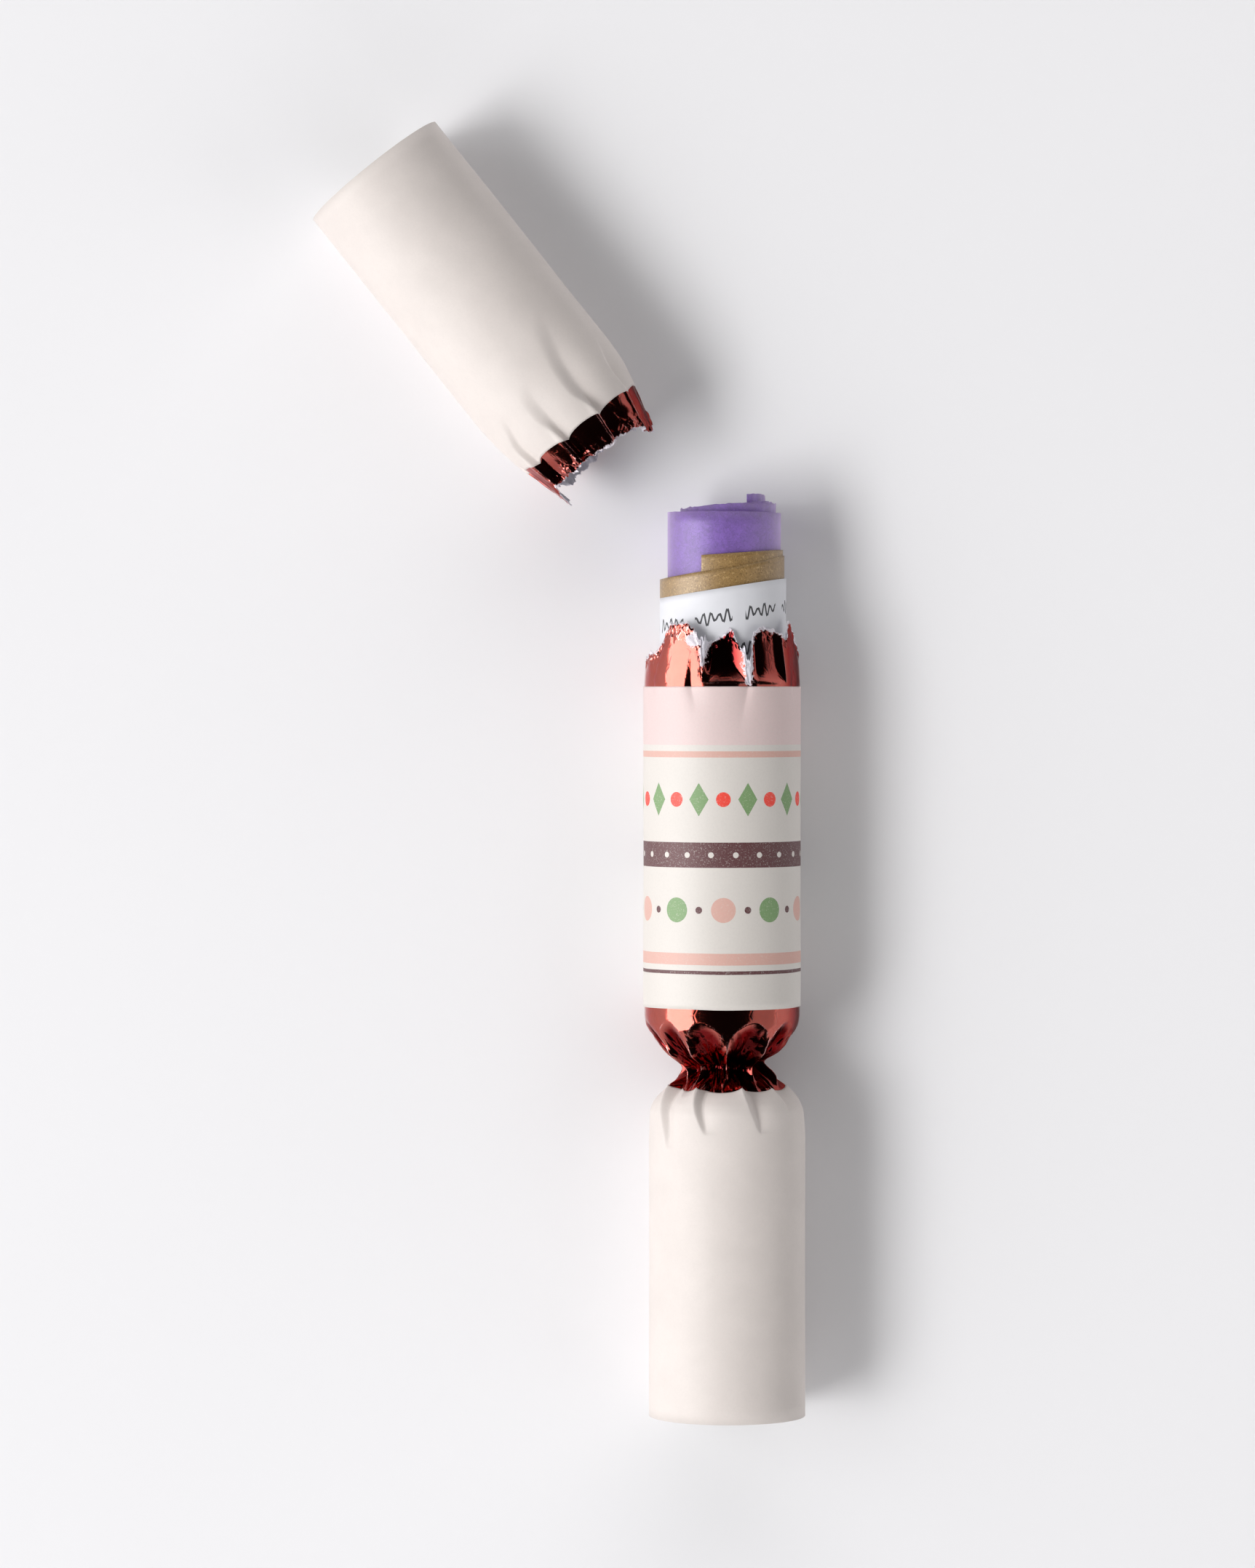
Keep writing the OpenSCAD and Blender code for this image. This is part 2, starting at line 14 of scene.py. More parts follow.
import bpy
import numpy as np
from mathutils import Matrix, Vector


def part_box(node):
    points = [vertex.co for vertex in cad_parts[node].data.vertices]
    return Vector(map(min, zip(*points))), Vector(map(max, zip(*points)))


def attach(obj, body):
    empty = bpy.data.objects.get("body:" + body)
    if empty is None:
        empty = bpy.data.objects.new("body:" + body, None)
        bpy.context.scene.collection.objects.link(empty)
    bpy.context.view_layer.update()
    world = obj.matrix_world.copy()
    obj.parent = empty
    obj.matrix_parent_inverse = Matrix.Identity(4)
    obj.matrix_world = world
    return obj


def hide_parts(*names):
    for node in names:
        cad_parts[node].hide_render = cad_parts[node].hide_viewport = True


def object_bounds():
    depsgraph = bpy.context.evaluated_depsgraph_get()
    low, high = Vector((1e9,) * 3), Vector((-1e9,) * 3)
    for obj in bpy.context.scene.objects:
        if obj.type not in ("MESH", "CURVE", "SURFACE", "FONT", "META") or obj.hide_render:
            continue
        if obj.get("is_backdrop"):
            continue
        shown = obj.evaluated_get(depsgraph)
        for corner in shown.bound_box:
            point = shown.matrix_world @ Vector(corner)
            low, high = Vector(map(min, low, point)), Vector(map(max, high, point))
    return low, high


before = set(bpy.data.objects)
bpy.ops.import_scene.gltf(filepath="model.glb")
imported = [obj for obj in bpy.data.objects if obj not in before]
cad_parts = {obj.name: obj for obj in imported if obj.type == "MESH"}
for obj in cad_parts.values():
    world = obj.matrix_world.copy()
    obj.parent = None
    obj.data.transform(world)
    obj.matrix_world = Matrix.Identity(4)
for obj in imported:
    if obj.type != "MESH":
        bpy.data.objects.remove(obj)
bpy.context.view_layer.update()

# %% [markdown]
# ## Sizes and the working frame
#
# A cracker is easiest to think of from its barrel's own axis, so the surfaces are written in millimetres
# about it: y is 0 at the printed sleeve's upper edge, and angles count from the top, positive towards +X.
# The whole file could be written in the row's metres instead, but then every number would carry two
# offsets.

# %% Sizes
BARREL_R = 20.5
SLEEVE_LEN = 83.0
END_R = 20.35
TUBE_REACH = 2.5  # how far the barrel's card tube stands past the printed sleeve
TUBE_Y = -85.5  # the same tube's lower end
CHOKE_Y = -99.1
LINE_Y = -104.1  # the cream sleeve's edge over the foil
END_TUBE_Y = -117.1  # where the whole end's card tube starts
RIM_Y = -189.7
CHOKE_R = 11.1
END_SHIFT = 1.35  # how far the whole end stands to the right
SHOULDER = 13.0  # from the cream edge to the card tube
END_LEN = 85.6
LAP = 16.0  # how far torn foil runs on under a sleeve
TORN_TURN = 38.5
TORN_AT = (-36.9, 66.7)  # the torn-off end's middle at its cream edge
TORN_LINE_R = 18.25  # its radius there
STUB_LEN = 15.0
STUB_TIP_R = 14.5
UNDER_COVER = 0.25  # how far inside the sleeve's outside the foil lies
CARD_DROP = 0.9  # and how far the card
CARD = 0.6
ROLL_X = 0.45  # the hat roll's middle
ROLL_Z = 18.1
HAT_OUT = 44.8  # how far the roll stands out of the printed sleeve

sleeve_low = np.array(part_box("barrel_cover")[0]) * 1000
sleeve_high = np.array(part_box("barrel_cover")[1]) * 1000
MID = np.array([-(sleeve_low[0] + sleeve_high[0]) / 2, -sleeve_high[1], 0.0])
print("barrel's axis and upper edge in the row's frame, mm:", np.round(-MID[:2], 2))


def to_row(p):
    """Working millimetres to metres in the row's frame: less the offset, divided by 1000."""
    return (np.asarray(p, float) - MID) / 1000.0


# %% [markdown]
# ## Numbers that ease and wander
#
# Paper never bends by straight formulas alone. Three helpers shape all the curves: an eased step, a line
# through given points that never overshoots them, and the angle between two directions.

# %% Steps, curves and angles
def smooth(t):
    """Eased step from 0 to 1: 3t squared minus 2t cubed, held outside 0 to 1."""
    t = np.clip(t, 0.0, 1.0)
    return t * t * (3.0 - 2.0 * t)


def curve(x, points):
    """A smooth line through the points that never overshoots them.

    Each slope is the harmonic mean of the two steps beside a point, and 0 where they differ in sign.
    Between two points the line is the cubic that has their heights and slopes.
    """
    px = np.array([p[0] for p in points], float)
    py = np.array([p[1] for p in points], float)
    step = np.diff(px)
    rise = np.diff(py) / step
    slope = np.zeros_like(px)
    same = rise[:-1] * rise[1:] > 0
    mean = np.zeros(len(rise) - 1)
    mean[same] = 2 * rise[:-1][same] * rise[1:][same] / (rise[:-1][same] + rise[1:][same])
    slope[1:-1] = mean
    slope[0] = rise[0]
    slope[-1] = rise[-1]
    x = np.clip(np.asarray(x, float), px[0], px[-1])
    k = np.clip(np.searchsorted(px, x, side="right") - 1, 0, len(rise) - 1)
    t = (x - px[k]) / step[k]
    h = step[k]
    return ((1 + 2 * t) * (1 - t) ** 2 * py[k] + t * (1 - t) ** 2 * h * slope[k]
            + t * t * (3 - 2 * t) * py[k + 1] + t * t * (t - 1) * h * slope[k + 1])


def apart(a, b):
    """Signed angle from b to a, in degrees from -180 to 180."""
    return (a - b + 540.0) % 360.0 - 180.0


# %% [markdown]
# ## Noise and crumples
#
# Handling leaves soft waves in paper and sharp facets in foil. Blender's displacement could add them, but
# then the mesh would lose its exact edges, so both are worked out here. Numbers come from whole-number
# hashing, which gives the same paper on every run.

# %% Noise and creases
def lattice(ix, iy, seed):
    """A repeatable number from 0 to 1 for each pair of whole numbers, from products cut to 32 bits."""
    h = (ix.astype(np.int64) * 374761393 + iy.astype(np.int64) * 668265263 + seed * 974711) & 0xFFFFFFFF
    h = ((h ^ (h >> 13)) * 1274126177) & 0xFFFFFFFF
    return ((h ^ (h >> 16)) & 0xFFFFFF) / float(0xFFFFFF)


def noise(u, v, seed):
    """Value noise from -1 to 1: numbers at whole points, eased between the four round each place."""
    iu = np.floor(u)
    iv = np.floor(v)
    fu = smooth(u - iu)
    fv = smooth(v - iv)
    a = lattice(iu, iv, seed)
    b = lattice(iu + 1, iv, seed)
    c = lattice(iu, iv + 1, seed)
    d = lattice(iu + 1, iv + 1, seed)
    return 2 * ((a * (1 - fu) + b * fu) * (1 - fv) + (c * (1 - fu) + d * fu) * fv) - 1


def creases(u, v, seed, size, count=6):
    """A crumpled sheet, about -1 to 1: the mean of straight folded waves in several directions.

    Each wave rises and falls evenly between its folds, so that flat facets meet in lines.
    """
    rng = np.random.default_rng(seed)
    total = np.zeros(np.broadcast(u, v).shape)
    for k in range(count):
        turn = rng.uniform(0, math.pi)
        pitch = size * rng.uniform(0.7, 2.1)
        w = (u * math.cos(turn) + v * math.sin(turn)) / pitch + rng.uniform(0, 1)
        w = w + 0.9 * noise(u / size / 1.4, v / size / 1.4, seed + 7 * k)
        total = total + (np.abs(w - np.floor(w) - 0.5) * 4 - 1) * rng.uniform(0.5, 1.0)
    return total / count


# %% [markdown]
# ## Sheets rolled round an axis
#
# Barrel, ends, necks and rolls are all sheets round an axis. A sheet that goes the whole way round has to
# meet itself, so what is left between its two edges is spread over the last 30 degrees, underneath, and
# the edges then share their points.

# %% Placing sheets
def round_y(r, angle, x, y, z):
    """Points at radius r and an angle in degrees round an axis along Y through (x, z)."""
    a = np.radians(angle)
    r, a, x, y, z = np.broadcast_arrays(r, a, x, y, z)
    return np.stack([x + r * np.sin(a), y, z + r * np.cos(a)], -1)


def torn_place(p):
    """From the torn-off end's own frame to the working frame: a turn, then a move.

    In its own frame y rises from its foil to its rim.
    """
    c = math.cos(math.radians(TORN_TURN))
    s = math.sin(math.radians(TORN_TURN))
    x = p[..., 0] * c - p[..., 1] * s + TORN_AT[0]
    y = p[..., 0] * s + p[..., 1] * c + TORN_AT[1]
    return np.stack([x, y, p[..., 2]], -1)


def all_round(steps):
    """Angles of a whole turn, one row of steps + 1 of them; the first and last are the same line."""
    return np.linspace(-180, 180, steps + 1)[None, :]


SEAM = 30.0


def meet(points, angle):
    """The sheet with its last SEAM degrees eased over, so that its last column falls on its first."""
    gap = points[:, :1] - points[:, -1:]
    return points + gap * smooth((angle - 180.0 + SEAM) / SEAM)[..., None]


# %% [markdown]
# ## From grid to mesh
#
# Each sheet is a grid with rows towards +Y and columns by rising angle, which makes every face point
# outwards. Solidify then gives it its thickness on the inner side, with its own materials for back and
# edge. A grid also carries what its material needs to know: how sharp a fold is, how far the tear is, and
# how much painted shade the foil gets in its folds and away from the window.

# %% Sharp folds
RIDGE_FROM = 0.35
RIDGE_SPAN = 0.9


def ridges(points):
    """How sharp each place of a sheet is, from 0 to 1, on the outside of a fold.

    The second differences along rows and columns, each over its own step squared, are added, and their
    part along the outward normal, turned round, is the curvature per millimetre.
    """
    across = np.gradient(points, axis=1)
    along = np.gradient(points, axis=0)
    out = np.cross(across, along)
    out = out / (np.linalg.norm(out, axis=-1, keepdims=True) + 1e-9)
    bend = (np.gradient(across, axis=1) / ((across ** 2).sum(-1, keepdims=True) + 1e-6)
            + np.gradient(along, axis=0) / ((along ** 2).sum(-1, keepdims=True) + 1e-6))
    return np.clip((-(bend * out).sum(-1) - RIDGE_FROM) / RIDGE_SPAN, 0, 1)


print("a fold is worn from", RIDGE_FROM, "to", RIDGE_FROM + RIDGE_SPAN, "of curvature per mm")

# %% Grid pieces
def grid_piece(name, points, uv, materials, body, nodes, slot, thickness=0.0, marks=None, closed=False):
    """A sheet from a grid of points, with its UV in centimetres, and marks as named values per point.

    Materials are for its outside, its inside and its edge. A closed sheet leaves out its last column, and
    its last quads go back to the first one.
    """
    m, n = points.shape[:2]
    used = n - 1 if closed else n
    i, j = np.meshgrid(np.arange(m - 1), np.arange(n - 1), indexing="ij")
    i = i.ravel()
    j = j.ravel()
    right = (j + 1) % used
    quads = np.stack([i * used + j, i * used + right, (i + 1) * used + right, (i + 1) * used + j], 1)
    flat = np.stack([i * n + j, i * n + j + 1, (i + 1) * n + j + 1, (i + 1) * n + j], 1)
    mesh = bpy.data.meshes.new(name)
    mesh.vertices.add(m * used)
    mesh.vertices.foreach_set("co", to_row(points[:, :used]).astype(np.float32).ravel())
    mesh.loops.add(4 * len(i))
    mesh.loops.foreach_set("vertex_index", quads.astype(np.int32).ravel())
    mesh.polygons.add(len(i))
    mesh.polygons.foreach_set("loop_start", np.arange(0, 4 * len(i), 4, dtype=np.int32))
    mesh.update(calc_edges=True)
    layer = mesh.uv_layers.new(name="UVMap")
    layer.data.foreach_set("uv", uv.reshape(-1, 2)[flat.ravel()].astype(np.float32).ravel())
    marks = dict(marks or {})
    if slot == "foil_paper":
        marks["ridge"] = ridges(points)
    for key, value in marks.items():
        value = np.broadcast_to(value, (m, n))[:, :used]
        mesh.attributes.new(key, "FLOAT", "POINT").data.foreach_set("value", value.astype(np.float32).ravel())
    mesh.validate()
    mesh.shade_smooth()
    ob = bpy.data.objects.new(name, mesh)
    bpy.context.scene.collection.objects.link(ob)
    for mat in materials:
        mesh.materials.append(mat)
    if thickness:
        mod = ob.modifiers.new("Thickness", "SOLIDIFY")
        mod.thickness = thickness / 1000
        mod.offset = -1
        mod.use_even_offset = False
        mod.material_offset = 1 if len(materials) > 1 else 0
        mod.material_offset_rim = 2 if len(materials) > 2 else 0
    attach(ob, body)
    if nodes:
        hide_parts(*nodes)
    print(f"{name}: {m} x {used} points, {thickness} mm thick")
    return ob


def sheet_uv(u, v):
    """UV pairs in centimetres from two arrays in millimetres."""
    u, v = np.broadcast_arrays(u, v)
    return np.stack([u, v], -1) / 10.0


# %% [markdown]
# ## Helpers for materials
#
# Every finish is a node tree under one Principled shader, so that it looks right under any light and
# exports as it is. Grain reads the object's own coordinates in metres, and print reads the sheet's own UV
# in centimetres.

# %% Material helpers
def new_material(name):
    """A node material with one Principled shader; returns the material, its tree and that shader."""
    mat = bpy.data.materials.new(name)
    mat.use_nodes = True
    tree = mat.node_tree
    return mat, tree, tree.nodes["Principled BSDF"]


def node(tree, kind, **values):
    """A new node of a kind, with its properties set."""
    n = tree.nodes.new(kind)
    for key, value in values.items():
        setattr(n, key, value)
    return n


def tune(shader, **values):
    """Set a node's own sockets to plain numbers or colours; an underscore stands for a space."""
    for key, value in values.items():
        shader.inputs[key.replace("_", " ")].default_value = value


def calc(tree, op, *terms):
    """Output of a Math node; each term is a number or another node's output."""
    n = node(tree, "ShaderNodeMath", operation=op)
    for socket, value in zip(n.inputs, terms):
        if isinstance(value, (int, float)):
            socket.default_value = value
        else:
            tree.links.new(value, socket)
    return n.outputs[0]


def mix_color(tree, factor, a, b):
    """Output of a colour mix from a to b; each is a colour or a node's output."""
    n = node(tree, "ShaderNodeMix", data_type="RGBA")
    for socket, value in ((n.inputs[0], factor), (n.inputs[6], a), (n.inputs[7], b)):
        if isinstance(value, (int, float)):
            socket.default_value = value
        elif isinstance(value, tuple):
            socket.default_value = (*value, 1.0)
        else:
            tree.links.new(value, socket)
    return n.outputs[2]


def coordinates(tree, kind="Object"):
    """Output of a piece's own coordinates, or of the world's direction where kind is Generated."""
    return node(tree, "ShaderNodeTexCoord").outputs[kind]


def sheet_mm(tree):
    """Outputs of the sheet's own u and v in millimetres: its UV in centimetres, times 10."""
    part = node(tree, "ShaderNodeSeparateXYZ")
    tree.links.new(node(tree, "ShaderNodeUVMap", uv_map="UVMap").outputs["UV"], part.inputs[0])
    return calc(tree, "MULTIPLY", part.outputs[0], 10.0), calc(tree, "MULTIPLY", part.outputs[1], 10.0)


def grain(tree, scale, detail=4.0, rough=0.6, stretch=None):
    """Noise over the object's own coordinates, in cells per metre, or stretched along an axis."""
    out = coordinates(tree)
    if stretch:
        mapping = node(tree, "ShaderNodeMapping")
        tune(mapping, Scale=stretch)
        tree.links.new(out, mapping.inputs["Vector"])
        out = mapping.outputs["Vector"]
    n = node(tree, "ShaderNodeTexNoise")
    tune(n, Scale=scale, Detail=detail, Roughness=rough)
    tree.links.new(out, n.inputs["Vector"])
    return n.outputs["Fac"]


def ramp(tree, value, low, high, share=1.0):
    """Value stretched from low to high onto 0 to share and held there."""
    n = node(tree, "ShaderNodeMapRange", clamp=True)
    tune(n, From_Min=low, From_Max=high, To_Max=share)
    tree.links.new(value, n.inputs["Value"])
    return n.outputs["Result"]


def bump(tree, shader, height, strength, distance):
    """Bump of a height map on the shader's normal, with its distance in metres."""
    n = node(tree, "ShaderNodeBump")
    tune(n, Strength=strength, Distance=distance)
    tree.links.new(height, n.inputs["Height"])
    tree.links.new(n.outputs["Normal"], shader.inputs["Normal"])


def srgb(r, g, b):
    """Linear colour from 0 to 255 screen values, by the screen's own curve."""
    parts = [v / 255.0 for v in (r, g, b)]
    return tuple(v / 12.92 if v <= 0.04045 else ((v + 0.055) / 1.055) ** 2.4 for v in parts)


def times(colour, k):
    """A colour made lighter or darker by a factor."""
    return tuple(min(1.0, c * k) for c in colour)


print("a mid grey of the screen is", round(srgb(128, 128, 128)[0], 3), "in light")


# %% [markdown]
# ## Paper and card
#
# The sleeves are uncoated paper: nearly even, faintly cloudy, with fibres about half a millimetre long.
# The tubes are grey-white card wound in a spiral, so their material carries the seam. An image of paper
# would do too, but noise at the right scale costs nothing and has no edges.

# %% Paper
def paper_material(name, base, shade=0.94, fibre=1800.0, height=0.00004):
    """Uncoated paper: a faint cloudiness, finer fibres, and a slight tooth."""
    mat, tree, bsdf = new_material(name)
    cloud = grain(tree, 90.0, 3.0)
    fine = grain(tree, fibre, 5.0, 0.7)
    col = mix_color(tree, ramp(tree, cloud, 0.3, 0.7), base, times(base, shade))
    col = mix_color(tree, ramp(tree, fine, 0.45, 0.75, 0.35), col, times(base, 0.88))
    tree.links.new(col, bsdf.inputs["Base Color"])
    tune(bsdf, Roughness=0.62, Specular_IOR_Level=0.35)
    bump(tree, bsdf, fine, 0.35, height)
    return mat


m_white = paper_material("paper_back", srgb(222, 220, 220))
m_cream = paper_material("cream_paper", srgb(223, 214, 209))
m_ply = paper_material("torn_paper", srgb(228, 225, 234), fibre=1200.0, height=0.0001)
print("paper:", m_white.name, m_cream.name, m_ply.name)

# %% Card
def card_material(name, base, spiral=None):
    """Card board: short fibres and flecks, and for a rolled tube the seam of its spiral.

    The seam is where y over the pitch plus the turn about the tube's axis, in full turns, is whole.
    """
    mat, tree, bsdf = new_material(name)
    fibres = grain(tree, 900.0, 6.0, 0.7, stretch=(1.0, 0.35, 1.0))
    flecks = grain(tree, 2600.0, 2.0)
    col = mix_color(tree, ramp(tree, fibres, 0.35, 0.7), base, times(base, 0.86))
    col = mix_color(tree, ramp(tree, flecks, 0.66, 0.74, 0.5), col, times(base, 0.6))
    height = fibres
    if spiral:
        x0, z0, pitch = spiral
        part = node(tree, "ShaderNodeSeparateXYZ")
        tree.links.new(coordinates(tree), part.inputs[0])
        turn = calc(tree, "ARCTAN2", calc(tree, "SUBTRACT", part.outputs[0], x0),
                    calc(tree, "SUBTRACT", part.outputs[2], z0))
        wave = calc(tree, "FRACT", calc(tree, "ADD", calc(tree, "DIVIDE", part.outputs[1], pitch),
                                        calc(tree, "DIVIDE", turn, 2 * math.pi)))
        seam = ramp(tree, wave, 0.965, 1.0)
        col = mix_color(tree, calc(tree, "MULTIPLY", seam, 0.45), col, times(base, 0.62))
        height = calc(tree, "SUBTRACT", fibres, seam)
    tree.links.new(col, bsdf.inputs["Base Color"])
    tune(bsdf, Roughness=0.8)
    bump(tree, bsdf, height, 0.4, 0.00008)
    return mat


SPIRAL = 0.034  # pitch of the tube's seam in metres
CARD_GREY = (222, 219, 213)
m_card = card_material("tube_card", srgb(*CARD_GREY), (float(-MID[0]) / 1000, BARREL_R / 1000, SPIRAL))
m_card_plain = card_material("tube_card_torn", srgb(*CARD_GREY))
m_charge = card_material("charge", srgb(84, 80, 84))
print("card:", m_card.name, m_card_plain.name, m_charge.name)

# %% [markdown]
# ## Metal foil on paper
#
# The necks are red metal foil on white paper, under a clear lacquer. A mirror alone would look like
# glass: foil shows its wrinkles, is rubbed pale along its sharp folds, and tears back from its paper.
# It is also given painted shade: a deep red, with less coat and a darker reflection, in its folds, where
# a fold would mirror itself, and on its right side, away from the window. Three marks on the mesh tell
# the material where: ridge, fold, which carries the painted shade, and tear.

# %% Foil
FOIL = (0.47, 0.080, 0.054)
# Painted shade: the deep red that the fold mark mixes into the foil and into its reflection's tint.
FOIL_PAINTED_SHADE = (0.13, 0.006, 0.010)
FOIL_EDGE = (0.75, 0.22, 0.18)
FOIL_EDGE_PAINTED_SHADE = (0.30, 0.03, 0.03)


def foil_material(name, torn):
    """Red foil: fine wrinkles, pale worn ridges, painted shade where the fold mark is high, and white paper
    along a torn edge.

    The paper shows where the distance to the tear in mm, plus a ragged noise, is under about 0.8.
    """
    mat, tree, bsdf = new_material(name)
    wrinkle = grain(tree, 420.0, 6.0, 0.62)
    scuff = grain(tree, 3200.0, 3.0, 0.7)
    col = mix_color(tree, ramp(tree, wrinkle, 0.35, 0.75), FOIL, times(FOIL, 0.86))
    # The fold mark is painted shade: it darkens the foil towards a deep red and dulls its worn ridges.
    fold = node(tree, "ShaderNodeAttribute", attribute_name="fold").outputs["Fac"]
    col = mix_color(tree, ramp(tree, fold, 0.0, 1.0, 0.9), col, FOIL_PAINTED_SHADE)
    rough = calc(tree, "ADD", ramp(tree, scuff, 0.5, 0.8, 0.12), 0.10)
    ridge = node(tree, "ShaderNodeAttribute", attribute_name="ridge").outputs["Fac"]
    worn = calc(tree, "MULTIPLY", ridge, ramp(tree, grain(tree, 2400.0, 4.0, 0.8), 0.34, 0.52))
    worn = calc(tree, "MULTIPLY", worn, calc(tree, "MULTIPLY_ADD", fold, -0.9, 1.0))
    col = mix_color(tree, ramp(tree, worn, 0.25, 0.8, 0.6), col, srgb(236, 190, 188))
    rough = calc(tree, "ADD", rough, calc(tree, "MULTIPLY", worn, 0.2))
    if torn:
        tear = node(tree, "ShaderNodeAttribute", attribute_name="tear").outputs["Fac"]
        ragged = calc(tree, "SUBTRACT", grain(tree, 620.0, 6.0, 0.75), 0.5)
        edge = calc(tree, "MULTIPLY_ADD", ragged, 4.2, tear)
        mask = calc(tree, "SUBTRACT", 1.0, ramp(tree, edge, 0.6, 0.85))
        white = mix_color(tree, ramp(tree, scuff, 0.35, 0.7), srgb(238, 234, 240), srgb(196, 188, 200))
        col = mix_color(tree, mask, col, white)
        tree.links.new(calc(tree, "SUBTRACT", 1.0, mask), bsdf.inputs["Metallic"])
        rough = calc(tree, "MULTIPLY_ADD", mask, 0.6, rough)
    else:
        tune(bsdf, Metallic=1.0)
    cells = node(tree, "ShaderNodeTexVoronoi", feature="DISTANCE_TO_EDGE")
    tune(cells, Scale=330.0)
    tree.links.new(coordinates(tree), cells.inputs["Vector"])
    height = calc(tree, "ADD", wrinkle, ramp(tree, cells.outputs["Distance"], 0.0, 0.12, 0.35))
    tree.links.new(col, bsdf.inputs["Base Color"])
    tree.links.new(rough, bsdf.inputs["Roughness"])
    # Painted shade: less coat and a darker reflection tint where the fold mark is high.
    tree.links.new(calc(tree, "MULTIPLY_ADD", fold, -0.85, 0.9), bsdf.inputs["Coat Weight"])
    tree.links.new(mix_color(tree, fold, FOIL_EDGE, FOIL_EDGE_PAINTED_SHADE), bsdf.inputs["Specular Tint"])
    tune(bsdf, Coat_Roughness=0.08)
    bump(tree, bsdf, height, 0.22, 0.0002)
    return mat


m_foil = foil_material("foil", torn=False)
m_foil_torn = foil_material("foil_torn", torn=True)
print("foil:", m_foil.name, m_foil_torn.name)

# %% [markdown]
# ## Tissue
#
# The hat is thin purple tissue, folded and rolled. Its dye is cloudy, and short curly fibres lie in it in
# every direction. A fibre here is a line where a noise passes its middle value, which gives curls, not
# streaks. Sheen gives the pale bloom where the roll turns away.

# %% Tissue
def tissue_material(name, base):
    """Purple tissue: cloudy dye, dark and pale curled fibres, and a pale bloom.

    A fibre lies where a noise is near its middle value, and fades with the difference from it.
    """
    mat, tree, bsdf = new_material(name)
    cloud = grain(tree, 210.0, 5.0, 0.66)
    col = mix_color(tree, ramp(tree, cloud, 0.38, 0.64), times(base, 0.94), times(base, 1.3))
    speck = grain(tree, 1300.0, 4.0, 0.7)
    col = mix_color(tree, ramp(tree, speck, 0.5, 0.68, 0.55), col, times(base, 0.62))
    height = speck
    for scale, share, k in ((520.0, 0.6, 0.62), (700.0, 0.5, 1.6)):
        off = calc(tree, "ABSOLUTE", calc(tree, "SUBTRACT", grain(tree, scale, 2.0, 0.5), 0.5))
        line = calc(tree, "SUBTRACT", share, ramp(tree, off, 0.006, 0.026, share))
        col = mix_color(tree, line, col, times(base, k))
        height = calc(tree, "ADD", height, line)
    tree.links.new(col, bsdf.inputs["Base Color"])
    tune(bsdf, Roughness=0.75, Specular_IOR_Level=0.3, Coat_Weight=1.0, Coat_Roughness=0.42)
    tune(bsdf, Sheen_Weight=1.0, Sheen_Roughness=0.6, Sheen_Tint=(0.85, 0.68, 1.0, 1.0))
    bump(tree, bsdf, height, 0.6, 0.00008)
    return mat


m_tissue = tissue_material("tissue", srgb(104, 70, 153))
print("tissue:", m_tissue.name)

# %% [markdown]
# ## Kraft card
#
# The snap's strips are brown kraft card with one smooth side. Its look is in its pulp: yellow-brown, with
# dark and pale flecks. A light coat stands for the smooth side, which is why the strip is so bright
# towards the window.

# %% Kraft
def kraft_material(name):
    """Brown kraft card: yellow-brown pulp, short dark and pale flecks, and a smooth side's soft gloss."""
    mat, tree, bsdf = new_material(name)
    pulp = grain(tree, 420.0, 6.0, 0.7)
    fleck = grain(tree, 2100.0, 4.0, 0.75)
    pale = grain(tree, 1500.0, 3.0)
    col = mix_color(tree, ramp(tree, pulp, 0.35, 0.7), srgb(158, 126, 78), srgb(141, 110, 63))
    col = mix_color(tree, ramp(tree, fleck, 0.5, 0.62, 0.75), col, srgb(104, 79, 44))
    col = mix_color(tree, ramp(tree, pale, 0.56, 0.68, 0.7), col, srgb(196, 164, 112))
    tree.links.new(col, bsdf.inputs["Base Color"])
    tune(bsdf, Roughness=0.5, Coat_Weight=0.75, Coat_Roughness=0.38)
    bump(tree, bsdf, fleck, 0.5, 0.00006)
    return mat


m_kraft = kraft_material("kraft_card")
m_kraft_edge = paper_material("kraft_edge", srgb(222, 204, 170))
print("kraft:", m_kraft.name, m_kraft_edge.name)

# %% [markdown]
# ## Turned wood
#
# The gift inside is a small turned top, out of sight in the barrel until it slides. Rings about its own
# length, fine pores and a thin lacquer are enough for wood of this size.

# %% Wood
def wood_material(name, base, ring):
    """Turned wood: rings and long pores, under a thin clear coat."""
    mat, tree, bsdf = new_material(name)
    wave = node(tree, "ShaderNodeTexWave", wave_type="RINGS", rings_direction="X")
    tune(wave, Scale=260.0, Distortion=5.0, Detail=3.0)
    tree.links.new(coordinates(tree), wave.inputs["Vector"])
    col = mix_color(tree, wave.outputs["Fac"], base, ring)
    pores = grain(tree, 1400.0, 5.0, 0.7, stretch=(1.0, 0.2, 1.0))
    col = mix_color(tree, ramp(tree, pores, 0.55, 0.7, 0.4), col, times(ring, 0.6))
    tree.links.new(col, bsdf.inputs["Base Color"])
    tune(bsdf, Roughness=0.42, Coat_Weight=0.3)
    bump(tree, bsdf, pores, 0.3, 0.00005)
    return mat


m_wood = wood_material("turned_wood", srgb(222, 186, 136), srgb(188, 143, 92))
m_stem = wood_material("stained_wood", srgb(190, 52, 44), srgb(150, 34, 30))
print("wood:", m_wood.name, m_stem.name)

# %% [markdown]
# ## The printed pattern
#
# The barrel's paper is printed in flat inks. The pattern here is a plain one of bands, discs and diamonds
# in blush, rose, plum, green and red. Each motif is a distance from its own middle, so it stays crisp at
# any size, and pale specks in the ink stand for the paper's tooth.

